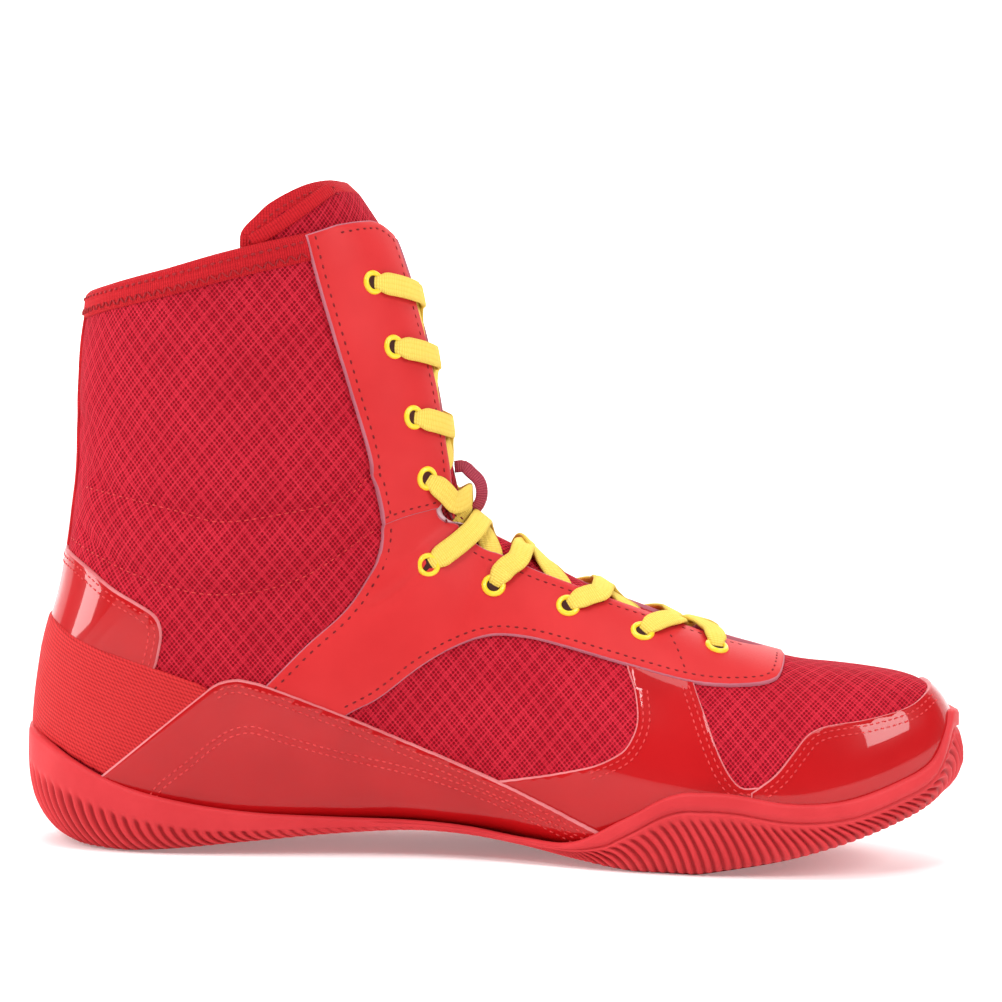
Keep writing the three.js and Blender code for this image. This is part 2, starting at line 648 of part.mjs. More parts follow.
// The lower eyestay: one piece round the throat's end with a strap down to each wing
function makeVampStay() {
  return panel(side([...STAY_SEAM.slice().reverse(), ...VAMP_STRAP_BACK, ...VAMP_STAY_EDGE,
    [0.802, 0.75], [0.60, 1.0], [0.50, 1.03]])).subtract(THROAT).subtract(NOTCH_CUT);
}

// The upper eyestay of one side, from the bend to the top
function makeShaftStay(name) {
  return panel(side([[0.291, 1.955], ...SHAFT_STAY_BACK, ...STAY_SEAM, [0.437, 1.028], [0.50, 1.055],
    [0.48, 1.5], [0.44, 1.856], ...STAY_TOP.slice().reverse()]), ACROSS[name])
    .subtract(THROAT).subtract(NOTCH_CUT);
}

// The binding over the collar's edge, from one eyestay round the back to the other
function makeBinding() {
  const top = side(COLLAR_LINE);
  const low = top.map((p) => new THREE.Vector2(p.x, p.y - BINDING_HEIGHT)).reverse();
  low[0].x += BINDING_HEIGHT / 3.6;
  const covered = shell(-UPPER_WALL - 1, CLEARANCE).subtract(aboveCollar(BINDING_THICKNESS));
  return shell(-UPPER_WALL, CLEARANCE + BINDING_THICKNESS).intersect(prism(inset([...top, ...low], SEAM)))
    .subtract(covered);
}

// The strip over the back seam, from the counter to the binding
function makeBackStrip() {
  const [end, back] = side(COLLAR_LINE);
  const [front] = side([[0.09, 0.85]]);
  const low = back.y - BINDING_HEIGHT;
  const outline = [...side([[PAST_HEEL, 0.86], COUNTER_TOP[0]]), front,
    new THREE.Vector2(front.x, low + BACK_STRIP_WIDTH / 6), new THREE.Vector2(back.x, low),
    new THREE.Vector2(end.x, end.y - BINDING_HEIGHT)];
  return panel(outline, [-BACK_STRIP_WIDTH / 2, BACK_STRIP_WIDTH / 2]);
}

// Where a ray meets the form: the point and the outward normal there
function meet(origin, direction) {
  const hit = new THREE.Raycaster(origin, direction.clone().normalize()).intersectObject(FORM_MESH)[0];
  const normal = hit.normal.clone();
  if (normal.dot(direction) > 0) normal.negate();
  return { point: hit.point, normal };
}

// Where an eyelet of a row sits on one side
function eyeletPlace(row, sign) {
  const spot = sidePoint(...EYELETS[row]);
  return meet(new THREE.Vector3(spot.x, sign * CUT_REACH, spot.y), new THREE.Vector3(0, -sign, 0));
}

// One eyelet's flange, set just over its stay
function makeEyelet(row, sign) {
  const { point, normal } = eyeletPlace(row, sign);
  const profile = [[EYELET_BORE, 0], [EYELET_RADIUS, 0], [EYELET_RADIUS, EYELET_FLANGE / 2],
    [EYELET_BORE, EYELET_FLANGE], [EYELET_BORE, 0]].map(([x, y]) => new THREE.Vector2(x, y));
  const geometry = new THREE.LatheGeometry(profile, EYELET_SIDES);
  geometry.applyQuaternion(new THREE.Quaternion().setFromUnitVectors(new THREE.Vector3(0, 1, 0), normal));
  geometry.translate(...point.clone().addScaledVector(normal, FLANGE_SEAT));
  return toSolid(geometry);
}

// The place on the front line that is nearest to a point of the side view
function nearestFront(spot) {
  let best = 0;
  for (let place = 0; place < FRONT.length - 1; place += 0.05) {
    if (frontAt(place).point.distanceTo(spot) < frontAt(best).point.distanceTo(spot)) best = place;
  }
  return best;
}

// A point over the form seen from the front line, at a place across, lifted off it
function overFront(place, across, lift) {
  const line = frontAt(place);
  const away = new THREE.Vector3(line.normal.x, 0, line.normal.y);
  const origin = new THREE.Vector3(line.point.x, line.y + across, line.point.y)
    .addScaledVector(away, RAY_START);
  const { point, normal } = meet(origin, away.clone().negate());
  return { point: point.addScaledVector(normal, lift), normal };
}

// A flat strip along centres with normals, its corners square to its run
function ribbon(stops, width, thickness) {
  return loft(stops.map((stop, i) => {
    const before = stops[Math.max(i - 1, 0)].point;
    const after = stops[Math.min(i + 1, stops.length - 1)].point;
    const run = after.clone().sub(before).normalize();
    const across = run.clone().cross(stop.normal).normalize();
    const up = across.clone().cross(run).normalize();
    return [[-1, -1], [1, -1], [1, 1], [-1, 1]].map(([a, b]) => stop.point.clone()
      .addScaledVector(across, (a * width) / 2).addScaledVector(up, (b * thickness) / 2));
  }));
}

const FRONT_PLACES = EYELETS.map((pair) => nearestFront(sidePoint(...pair)));

// One lace from an eyelet over its stay and the throat, to the next row's other side
function laceRun(row, sign) {
  const half = (column(THROAT_GAP, 'gap', EYELETS[row][0]) * THROAT_WIDTH) / 2;
  const last = row + 2 === EYELETS.length;
  const over = (share, across, lift) => overFront(
    THREE.MathUtils.lerp(FRONT_PLACES[row], FRONT_PLACES[row + 1], share), across, lift);
  const above = (eyelet) => ({
    point: eyelet.point.clone().addScaledVector(eyelet.normal, LACE_OVER_EYELET),
    normal: eyelet.normal,
  });
  const stops = [
    above(eyeletPlace(row, sign)),
    over(LACE_SHARES.stay, sign * (half + LACE_STAY_REACH), LACE_OVER_STAY + CLEARANCE),
    over(LACE_SHARES.edge, sign * (half + LACE_EDGE_REACH), LACE_OVER_STAY),
    over(LACE_SHARES.middle, 0, last ? LACE_OVER_STAY : LACE_CROWN),
  ];
  if (!last) return [...stops, over(LACE_SHARES.under, -sign * (half - LACE_STAY_REACH), LACE_ON_TONGUE)];
  return [
    ...stops,
    over(LACE_SHARES.farEdge, -sign * (half + LACE_EDGE_REACH), LACE_OVER_STAY),
    above(eyeletPlace(row + 1, -sign)),
  ];
}

// The two laces that cross between one row of eyelets and the next
function makeCrossing(row) {
  const [medial, lateral] = [-1, 1].map((sign) => toSolid(
    ribbon(laceRun(row, sign), LACE_WIDTH, LACE_THICKNESS)));
  return medial.add(lateral);
}

// The ribbon loop that stands on the tongue at the ankle bend
function makeLoop() {
  const bend = sidePoint(...LOOP_BEND);
  const middle = nearestFront(bend);
  const out = frontAt(middle).normal;
  const along = new THREE.Vector2(-out.y, out.x);
  const lift = -UPPER_WALL + (LOOP_THICKNESS + CLEARANCE) / 2;
  const feet = [-LOOP_SPREAD, LOOP_SPREAD].map((reach) => overFront(
    nearestFront(bend.clone().addScaledVector(along, reach)), 0, lift));
  const stops = [];
  for (let i = 0; i <= LOOP_STEPS; i += 1) {
    const turn = (Math.PI * i) / LOOP_STEPS;
    const away = new THREE.Vector3(-Math.cos(turn) * out.y, 0, Math.cos(turn) * out.x);
    const point = feet[0].point.clone().lerp(feet[1].point, (1 - Math.cos(turn)) / 2);
    point.x += out.x * LOOP_REACH * Math.sin(turn);
    point.z += out.y * LOOP_REACH * Math.sin(turn);
    const normal = new THREE.Vector3(out.x, 0, out.y).multiplyScalar(Math.sin(turn)).sub(away);
    stops.push({ point, normal });
  }
  return toSolid(ribbon(stops, LOOP_WIDTH, LOOP_THICKNESS));
}

const group = new THREE.Group();

// One named solid of the shoe
function add(name, solid, color, roughness) {
  const mesh = solid.getMesh();
  const geometry = new THREE.BufferGeometry();
  geometry.setAttribute('position', new THREE.Float32BufferAttribute(mesh.vertProperties, 3));
  geometry.setIndex(new THREE.Uint32BufferAttribute(mesh.triVerts, 1));
  geometry.computeVertexNormals();
  const material = new THREE.MeshStandardMaterial({ color, roughness, metalness: 0 });
  const made = new THREE.Mesh(geometry, material);
  made.name = name;
  group.add(made);
}

add('outsole', soleBody(0).subtract(form(CLEARANCE)), COLORS.rubber, 0.6);
add('insole', makeInsole(), COLORS.lining, 0.9);
add('upper', makeUpper(), COLORS.crimson, 0.85);
add('tongue', makeTongue(), COLORS.crimson, 0.85);
add('heel_counter', makeCounter(), COLORS.patent, 0.15);
add('heel_strap', makeStrap(), COLORS.webbing, 0.8);
add('toe_cap', makeToeCap(), COLORS.patent, 0.15);
add('vamp_eyestay', makeVampStay(), COLORS.coral, 0.5);
Object.keys(ACROSS).forEach((name) => {
  add(`side_wing_${name}`, makeWing(name), COLORS.patent, 0.15);
  add(`ball_panel_${name}`, makeBallPanel(name), COLORS.patent, 0.15);
  add(`shaft_eyestay_${name}`, makeShaftStay(name), COLORS.coral, 0.5);
});
add('collar_binding', makeBinding(), COLORS.crimson, 0.8);
add('back_strip', makeBackStrip(), COLORS.crimson, 0.8);
add('tongue_loop', makeLoop(), COLORS.ribbon, 0.7);
EYELETS.forEach((pair, row) => {
  add(`eyelet_${row + 1}_medial`, makeEyelet(row, -1), COLORS.ring, 0.4);
  add(`eyelet_${row + 1}_lateral`, makeEyelet(row, 1), COLORS.ring, 0.4);
});
for (let row = 0; row < EYELETS.length - 1; row += 1) {
  add(`lace_crossing_${row + 1}`, makeCrossing(row), COLORS.yellow, 0.8);
}

// The origin is on the floor under the middle of the shoe
const bounds = new THREE.Box3().setFromObject(group);
const middle = bounds.getCenter(new THREE.Vector3());
group.children.forEach((mesh) => mesh.geometry.translate(-middle.x, -middle.y, -bounds.min.z));

export default group;
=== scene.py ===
"""A left wrestling boot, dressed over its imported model: mesh upper, sewn panels, laces and a ribbed sole."""
from math import acos, cos, pi, radians, sin

import bmesh
import bpy
import numpy as np
from mathutils import Matrix, Vector

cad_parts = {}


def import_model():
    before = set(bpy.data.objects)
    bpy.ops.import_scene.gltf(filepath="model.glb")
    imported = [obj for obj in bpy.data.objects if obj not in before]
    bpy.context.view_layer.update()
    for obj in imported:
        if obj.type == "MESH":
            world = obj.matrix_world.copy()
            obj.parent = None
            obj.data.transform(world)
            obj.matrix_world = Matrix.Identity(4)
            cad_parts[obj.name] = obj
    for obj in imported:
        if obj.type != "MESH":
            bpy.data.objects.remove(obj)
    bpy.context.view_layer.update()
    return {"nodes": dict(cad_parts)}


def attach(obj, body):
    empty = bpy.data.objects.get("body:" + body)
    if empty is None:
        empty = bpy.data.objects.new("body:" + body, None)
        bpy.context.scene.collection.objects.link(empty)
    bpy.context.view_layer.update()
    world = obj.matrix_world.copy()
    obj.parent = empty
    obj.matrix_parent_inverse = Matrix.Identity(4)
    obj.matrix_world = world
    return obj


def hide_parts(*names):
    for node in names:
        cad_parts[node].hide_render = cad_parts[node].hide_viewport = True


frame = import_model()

# Sizes of the shoe in millimetres, as in the part's source
SHOE_LENGTH = 290
BALL_WIDTH = 97
HEEL_WIDTH = 66
COLLAR_WIDTH = 78
BEND_RISE = 100
SHAFT_RISE = 85
SOLE_THICKNESS = 5.2
ARCH_LIFT = 8.3
TOE_SPRING = 23.3
RIM_HEIGHT = 25
RIM_WIDTH = 3.4
RIM_BAND = 5.6
GROOVE_DEPTH = 0.8
SOLE_TUCK = 8
THROAT_WIDTH = 26
TONGUE_LIFT = -2.3
TONGUE_THICKNESS = 3.4
UPPER_WALL = 2
BINDING_HEIGHT = 7.6
BACK_STRIP_WIDTH = 9
LACE_WIDTH = 7
LACE_THICKNESS = 1.3


def table(names, *rows):
    """The columns of a table, by name"""
    return dict(zip(names.split(), np.array(rows, float).T))


SOLE_LINE = table(
    "u arch spring bed rim tuck",
    (0.00, 0.00, 0.00, 1.35, 1.43, 2.9), (0.05, -0.05, 0.00, 1.33, 1.14, 2.0),
    (0.10, -0.03, 0.00, 1.31, 0.88, 1.2), (0.16, 0.12, 0.00, 1.14, 0.64, 0.9),
    (0.24, 0.45, 0.00, 0.81, 0.39, 0.7), (0.33, 0.80, 0.00, 0.47, 0.22, 0.5),
    (0.41, 1.00, 0.00, 0.41, 0.13, 0.35), (0.47, 0.94, 0.00, 0.37, 0.10, 0.3),
    (0.53, 0.68, 0.00, 0.35, 0.09, 0.3), (0.58, 0.36, 0.00, 0.50, 0.20, 0.4),
    (0.63, 0.06, 0.00, 0.85, 0.62, 0.7), (0.67, -0.04, 0.00, 1.00, 0.92, 0.9),
    (0.70, -0.03, 0.00, 0.98, 1.01, 0.9), (0.74, 0.00, 0.07, 0.81, 0.94, 0.9),
    (0.80, 0.00, 0.22, 0.50, 0.70, 0.8), (0.86, 0.00, 0.43, 0.37, 0.54, 0.8),
    (0.92, 0.00, 0.70, 0.50, 0.51, 0.9), (0.955, 0.00, 0.91, 0.75, 0.53, 1.0),
    (0.975, 0.00, 1.04, 1.10, 0.78, 1.2), (0.985, 0.00, 1.11, 1.40, 0.90, 1.3),
    (1.00, 0.00, 1.22, 1.83, 0.78, 1.5))
PLAN = table(
    "u medial lateral",
    (0.000, 0.00, 0.00), (0.005, 0.31, 0.31), (0.020, 0.58, 0.58), (0.050, 0.82, 0.82),
    (0.100, 0.96, 0.97), (0.160, 1.00, 1.01), (0.250, 0.92, 1.02), (0.350, 0.74, 0.96),
    (0.440, 0.64, 0.90), (0.520, 0.68, 0.91), (0.600, 0.82, 0.95), (0.660, 0.94, 0.98),
    (0.710, 1.00, 0.97), (0.760, 1.01, 0.93), (0.820, 0.98, 0.83), (0.880, 0.89, 0.68),
    (0.930, 0.74, 0.49), (0.965, 0.58, 0.30), (0.985, 0.42, 0.14), (0.997, 0.27, -0.01),
    (1.000, 0.14, -0.14))
FOOT_SECTIONS = table(
    "u base top fill inner outer crown wide ridge",
    (0.981, 0.12, 0.19, 0.35, 0.9, 0.9, 0.85, 0.5, -0.072), (0.976, 0.080, 0.235, 0.72, 0.60, 0.60, 0.72, 0.42, -0.07),
    (0.967, 0.045, 0.311, 0.93, 0.50, 0.50, 0.64, 0.38, -0.069), (0.952, 0.015, 0.391, 1.0, 0.42, 0.42, 0.60, 0.35, -0.067),
    (0.931, 0.005, 0.444, 1.0, 0.38, 0.38, 0.60, 0.32, -0.063), (0.903, 0, 0.482, 1.0, 0.36, 0.36, 0.62, 0.30, -0.058),
    (0.862, 0, 0.521, 1.0, 0.35, 0.35, 0.66, 0.28, -0.05), (0.810, 0, 0.555, 1.0, 0.35, 0.35, 0.72, 0.26, -0.042),
    (0.741, 0, 0.620, 1.0, 0.35, 0.35, 0.82, 0.25, -0.033), (0.672, 0, 0.700, 1.0, 0.36, 0.36, 0.92, 0.24, -0.025),
    (0.603, 0, 0.788, 1.02, 0.42, 0.38, 1.0, 0.23, -0.018), (0.545, 0, 0.866, 1.04, 0.58, 0.39, 1.0, 0.23, -0.012))
ANKLE_SECTIONS = table(
    "bu bh fu fh half shift inner outer crown wide",
    (0.500, 0.000, 0.503, 0.930, 1.03, 0.16, 0.68, 0.40, 1.0, 0.24), (0.414, 0.000, 0.490, 0.949, 0.98, 0.15, 0.72, 0.42, 1.0, 0.27),
    (0.328, 0.000, 0.479, 0.970, 0.97, 0.10, 0.60, 0.40, 1.0, 0.32), (0.241, 0.000, 0.472, 0.987, 0.97, 0.04, 0.44, 0.38, 0.98, 0.36),
    (0.155, 0.002, 0.468, 1.009, 0.965, 0, 0.38, 0.38, 0.96, 0.40), (0.086, 0.006, 0.464, 1.033, 0.965, 0, 0.38, 0.38, 0.95, 0.42),
    (0.034, 0.050, 0.461, 1.080, 0.98, 0, 0.47, 0.47, 0.95, 0.46), (0.011, 0.214, 0.458, 1.127, 1.02, 0, 0.80, 0.80, 0.95, 0.5),
    (0.016, 0.509, 0.453, 1.186, 1.07, 0, 0.97, 0.97, 0.94, 0.5), (0.033, 0.723, 0.447, 1.245, 1.11, 0, 1.0, 1.0, 0.92, 0.5))
SHAFT_SECTIONS = table(
    "bu bh fu fh half",
    (0.038, 0.805, 0.443, 1.292, 0.950), (0.048, 1.115, 0.429, 1.480, 0.960), (0.047, 1.433, 0.414, 1.680, 0.980),
    (0.056, 1.739, 0.391, 1.904, 1.000), (0.060, 1.880, 0.374, 2.015, 1.010), (0.069, 2.120, 0.312, 2.290, 1.030))

# Side outlines as (share of length, share of height), as in the part's source
COLLAR_LINE = [(0.00, 1.72), (0.056, 1.741), (0.149, 1.819), (0.202, 1.872), (0.291, 1.955)]
STAY_TOP = [(0.319, 1.992), (0.340, 2.008), (0.357, 2.013), (0.373, 1.978), (0.384, 1.935), (0.397, 1.856)]
SHAFT_STAY_BACK = [(0.304, 1.793), (0.320, 1.619), (0.338, 1.435), (0.357, 1.228), (0.370, 1.044), (0.374, 0.975)]
STAY_SEAM = [(0.376, 0.955), (0.403, 0.984), (0.430, 1.006)]
WING_SECOND = [(0.142, 0.110), (0.150, 0.145), (0.179, 0.214), (0.205, 0.277), (0.227, 0.317), (0.249, 0.327), (0.278, 0.300),
               (0.339, 0.246), (0.419, 0.183), (0.484, 0.134), (0.549, 0.081), (0.587, 0.043)]
VAMP_STRAP_BACK = [(0.376, 0.955), (0.373, 0.863), (0.366, 0.808), (0.341, 0.687), (0.301, 0.574), (0.261, 0.451), (0.246, 0.41)]
VAMP_STAY_EDGE = [
    (0.333, 0.32), (0.344, 0.356), (0.377, 0.407), (0.420, 0.507), (0.456, 0.572), (0.492, 0.612), (0.530, 0.615),
    (0.566, 0.599), (0.633, 0.555), (0.702, 0.509), (0.751, 0.497), (0.788, 0.509), (0.802, 0.559)]
WING_REAR = [(0.091, 0.163), (0.203, 0.444), (0.213, 0.461), (0.222, 0.468)]
WING_FRONT = [(0.222, 0.468), (0.234, 0.470), (0.261, 0.451), (0.344, 0.356), (0.397, 0.284), (0.521, 0.154), (0.608, 0.067)]
STRAP_TOP = [(0.00, 0.662), (0.026, 0.636), (0.066, 0.573), (0.138, 0.509), (0.203, 0.444)]
COUNTER_TOP = [(0.02, 0.866), (0.036, 0.852), (0.067, 0.805), (0.102, 0.737), (0.130, 0.695), (0.147, 0.662), (0.153, 0.616), (0.151, 0.561), (0.146, 0.502)]
BALL_BACK = [(0.634, 0.59), (0.633, 0.555), (0.641, 0.485), (0.644, 0.401), (0.639, 0.350), (0.628, 0.305), (0.594, 0.253), (0.50, 0.165), (0.46, 0.15)]
BALL_FRONT = [(0.700, 0.55), (0.702, 0.509), (0.712, 0.428), (0.726, 0.319), (0.739, 0.246), (0.751, 0.211), (0.768, 0.209), (0.79, 0.20)]
TOE_CAP_TOP = [
    (0.760, 0.195), (0.768, 0.209), (0.785, 0.244), (0.803, 0.302), (0.818, 0.347), (0.836, 0.363), (0.881, 0.357),
    (0.926, 0.354), (0.948, 0.373), (0.958, 0.40)]
TONGUE_SIDE = [
    (0.330, 2.185), (0.318, 2.180), (0.293, 2.148), (0.262, 2.082), (0.246, 2.033), (0.226, 1.94), (0.245, 1.6), (0.31, 1.22), (0.37, 0.92),
    (0.44, 0.76), (0.53, 0.64), (0.63, 0.55), (0.72, 0.48), (0.80, 0.46), (0.82, 0.53)]
EYELETS = [
    (0.358, 1.798), (0.380, 1.574), (0.401, 1.327), (0.418, 1.114), (0.424, 0.825), (0.493, 0.764),
    (0.571, 0.713), (0.649, 0.646), (0.727, 0.600)]
NOTCH_TOP = [(0.430, 1.006), (0.437, 1.030), (0.452, 1.045), (0.475, 1.052)]
NOTCH_FOOT = [(0.475, 0.955), (0.455, 0.955), (0.441, 0.962), (0.433, 0.980), (0.430, 1.006)]
THROAT_GAP = table(
    "u gap", (0.30, 0.95), (0.42, 0.95), (0.50, 1.0), (0.60, 0.95), (0.70, 0.8), (0.75, 0.62), (0.77, 0.40), (0.782, 0.0))


def follow(stops, values, at):
    """A smooth curve through the values at the rising stops, read at a place or places"""
    last = len(stops) - 1
    at = np.clip(at, stops[0], stops[last])
    i = np.clip(np.searchsorted(stops, at, side="right") - 1, 0, last - 1)
    before, after = np.maximum(i - 1, 0), np.minimum(i + 2, last)
    span = stops[i + 1] - stops[i]
    t = (at - stops[i]) / span
    start = (values[i + 1] - values[before]) / (stops[i + 1] - stops[before]) * span
    end = (values[after] - values[i]) / (stops[after] - stops[i]) * span
    keep = 2 * t**3 - 3 * t**2 + 1
    return keep * values[i] + (t**3 - 2 * t**2 + t) * start + (1 - keep) * values[i + 1] + (t**3 - t**2) * end


def column(rows, name, u):
    return follow(rows["u"], rows[name], u)


def smooth(value, low, high):
    t = np.clip((value - low) / (high - low), 0, 1)
    return t * t * (3 - 2 * t)


def tread(u):
    return np.maximum(0, ARCH_LIFT * column(SOLE_LINE, "arch", u) + TOE_SPRING * column(SOLE_LINE, "spring", u))


def seat(u):
    return tread(u) + SOLE_THICKNESS * column(SOLE_LINE, "bed", u)


def rim(u):
    return tread(u) + RIM_HEIGHT * column(SOLE_LINE, "rim", u)


def side_point(u, h):
    """Millimetres along and up, of a point given by its shares of length and height"""
    bend = SOLE_THICKNESS + BEND_RISE
    z = np.where(h <= 1, (1 - h) * seat(u) + h * bend, bend + (h - 1) * SHAFT_RISE)
    return u * SHOE_LENGTH, z


def half_width(name, u):
    return column(PLAN, name, u) * (HEEL_WIDTH + (BALL_WIDTH - HEEL_WIDTH) * smooth(u, 0.2, 0.65)) / 2


SPREAD = np.linspace(0, 1, 2001)
SHIFT_X = -SHOE_LENGTH / 2
SHIFT_Y = (half_width("medial", SPREAD).max() - half_width("lateral", SPREAD).max()) / 2


def world(x, y, z):
    """Metres in the shared frame, of a point in millimetres from the heel"""
    return Vector(((x + SHIFT_X) * 0.001, (y + SHIFT_Y) * 0.001, z * 0.001))


# The last's sections, toe tip first, then read off every millimetre or so along it
def section_rows():
    u = FOOT_SECTIONS["u"]
    medial, lateral = half_width("medial", u), half_width("lateral", u)
    foot = {**FOOT_SECTIONS, "back": np.stack(side_point(u, FOOT_SECTIONS["base"])),
            "front": np.stack(side_point(u, FOOT_SECTIONS["top"])),
            "half": ((medial + lateral) / 2 - RIM_WIDTH) * FOOT_SECTIONS["fill"], "shift": (lateral - medial) / 2,
            "ridge": FOOT_SECTIONS["ridge"] * BALL_WIDTH}

    def slanted(rows, width, shape):
        n = len(rows["bu"])
        full = {**{name: np.full(n, value) for name, value in shape.items()}, **rows}
        return {**full, "back": np.stack(side_point(rows["bu"], rows["bh"])),
                "front": np.stack(side_point(rows["fu"], rows["fh"])), "half": full["half"] * width / 2,
                "shift": full["shift"] * width / 2, "ridge": np.zeros(n)}

    parts = [foot, slanted(ANKLE_SECTIONS, HEEL_WIDTH, {}),
             slanted(SHAFT_SECTIONS, COLLAR_WIDTH, {"inner": 1.0, "outer": 1.0, "crown": 0.9, "wide": 0.5, "shift": 0.0})]
    names = "back front half shift ridge inner outer crown wide".split()
    joined = {name: np.concatenate([part[name] for part in parts], axis=-1) for name in names}
    joined["wide"] = np.log(joined["wide"]) / np.log(0.5)
    return joined


def read_off(rows, step):
    moves = sum(np.hypot(*np.diff(rows[name])) for name in ("back", "front")) / 2
    stops = np.concatenate([[0], np.cumsum(moves)])
    at = np.arange(0, stops[-1], step)
    dense = {name: np.stack([follow(stops, line, at) for line in values]) if values.ndim == 2
             else follow(stops, values, at) for name, values in rows.items()}
    return dense, at


STATION = 1.0
SECTIONS, STATIONS = read_off(section_rows(), STATION)
HALF_RING = 96
TURNS = pi * (1 - np.cos(np.linspace(0, pi, 241))) / 2


def half_rings(side):
    """One side's rings: points evenly spaced from back to front, their shares of arc at TURNS, and the lengths"""
    rows = {name: values[..., None] for name, values in SECTIONS.items()}
    share = ((1 - np.cos(TURNS)) / 2) ** rows["wide"]
    foot = rows["inner"] if side < 0 else rows["outer"]
    power = foot + (rows["crown"] - foot) * smooth(TURNS, 0.2, pi - 0.2)
    x, z = (rows["back"][k] + (rows["front"][k] - rows["back"][k]) * share for k in (0, 1))
    y = rows["shift"] + (rows["ridge"] - rows["shift"]) * share + side * rows["half"] * np.sin(TURNS) ** power
    points = np.stack([x, y, z], axis=-1)
    steps = np.linalg.norm(np.diff(points, axis=1), axis=2)
    arcs = np.concatenate([np.zeros((len(x), 1)), np.cumsum(steps, axis=1)], axis=1)
    lengths = arcs[:, -1].copy()
    shares = arcs / lengths[:, None]
    even = np.linspace(0, 1, HALF_RING + 1)
    spaced = np.array([[np.interp(even, shares[i], points[i, :, k]) for k in range(3)] for i in range(len(x))])
    return spaced.transpose(0, 2, 1), shares, lengths


MEDIAL, MEDIAL_SHARES, MEDIAL_LENGTHS = half_rings(-1)
LATERAL, LATERAL_SHARES, LATERAL_LENGTHS = half_rings(1)
SHARES = {-1: MEDIAL_SHARES, 1: LATERAL_SHARES}
LENGTHS = {-1: MEDIAL_LENGTHS, 1: LATERAL_LENGTHS}
# One whole ring a row: the front, down the medial side to the back, and up the lateral side
LAST = np.concatenate([MEDIAL[:, :0:-1], LATERAL[:, :-1]], axis=1)


def last_normals(points):
    along = np.gradient(points, axis=0)
    around = np.roll(points, -1, axis=1) - np.roll(points, 1, axis=1)
    normal = np.cross(around, along)
    normal /= np.linalg.norm(normal, axis=2, keepdims=True)
    outward = points - points.mean(axis=1, keepdims=True)
    return normal * np.sign((normal * outward).sum(axis=2).mean())


def flat_side():
    """Each point's place in the side view if its ring were unrolled from its middle"""
    whole = []
    for side in (-1, 1):
        shares = np.array([np.interp(pi / 2, TURNS, row) for row in SHARES[side]])
        middle = SECTIONS["back"] + (SECTIONS["front"] - SECTIONS["back"]) * 0.5 ** SECTIONS["wide"]
        run = SECTIONS["front"] - SECTIONS["back"]
        run = run / np.hypot(*run)
        away = (np.linspace(0, 1, HALF_RING + 1)[None] - shares[:, None]) * LENGTHS[side][:, None]
        whole.append(middle.T[:, None, :] + away[..., None] * run.T[:, None, :])
    return np.concatenate([whole[0][:, :0:-1], whole[1][:, :-1]], axis=1)


FLAT = flat_side()
WAVES = [(0.35, 41, 0.3, 0.4), (0.25, 27, 1.9, 1.1), (0.18, 17, 4.0, 2.0)]
# Seams and folds that sink into the form: depth, width, side outline
FOLDS = [
    (-1.5, 2.4, [(0.065, 1.049), (0.168, 0.982), (0.209, 0.954), (0.270, 0.979), (0.338, 1.041), (0.368, 1.135)]),
    (-1.5, 2.4, [(0.046, 0.880), (0.119, 0.787), (0.204, 0.730), (0.289, 0.775), (0.370, 0.935)]),
    (1.3, 7.0, [(0.060, 0.97), (0.14, 0.895), (0.205, 0.845), (0.28, 0.875), (0.35, 0.985)]),
    (-0.8, 1.9, [(0.366, 0.694), (0.385, 0.727), (0.403, 0.771), (0.422, 0.821)]),
    (-0.5, 1.8, [(0.375, 0.863), (0.392, 0.851), (0.413, 0.866)]),
    (0.6, 3.5, [(0.372, 0.76), (0.392, 0.79), (0.412, 0.84)]),
    (-1.0, 4.0, [(0.02, 1.26), (0.10, 1.24), (0.17, 1.20)]),
    (-1.0, 3.5, [(0.02, 1.10), (0.08, 1.12), (0.13, 1.13)]),
    (-0.45, 5.0, [(0.30, 1.30), (0.25, 1.22), (0.20, 1.20)])]


def relief():
    """How far the worn cloth stands off the plain last, at each of its points"""
    x, z = FLAT[..., 0], FLAT[..., 1]
    total = sum(depth * np.sin(x / span + phase + 1.3 * np.sin(z / span + turn)) for depth, span, phase, turn in
                ((d, w / 2 / pi * 2, a, b) for d, w, a, b in WAVES))
    total *= smooth(z, 55, 110) * 0.8
    for depth, width, pairs in FOLDS:
        line = resample(np.stack(side_point(*np.array(pairs).T), axis=1), 2.0)
        gap = np.full(x.shape, 1e9)
        for (ax, az), (bx, bz) in zip(line, line[1:]):
            run = np.array((bx - ax, bz - az))
            share = np.clip(((x - ax) * run[0] + (z - az) * run[1]) / run.dot(run), 0, 1)
            gap = np.minimum(gap, np.hypot(x - ax - share * run[0], z - az - share * run[1]))
        total += depth * np.exp(-(gap / width) ** 2)
    return total


def resample(points, spacing):
    """Points evenly spaced along a smooth curve through the given ones, in any number of columns"""
    points = np.array(points, float)
    stops = np.concatenate([[0], np.cumsum(np.linalg.norm(np.diff(points, axis=0), axis=1))])
    count = max(2, int(round(stops[-1] / spacing)) + 1)
    at = np.linspace(0, stops[-1], count)
    return np.stack([follow(stops, line, at) for line in points.T], axis=1)


LAST = LAST + relief()[..., None] * last_normals(LAST)
NORMALS = last_normals(LAST)


def read(grid, at, v):
    """The grid's value at a station and a share of the way round: 0 the back, 1 the front, medial below 0"""
    row = min(max(at / STATION, 0), len(grid) - 1.001)
    col = ((v + 1) * HALF_RING) % (2 * HALF_RING)
    i, j = int(row), int(col)
    f, g, k = row - i, col - j, (j + 1) % (2 * HALF_RING)
    return (1 - f) * ((1 - g) * grid[i, j] + g * grid[i, k]) + f * ((1 - g) * grid[i + 1, j] + g * grid[i + 1, k])


def on_last(at, v, lift=0.0):
    return world(*(read(LAST, at, v) + lift * read(NORMALS, at, v)))


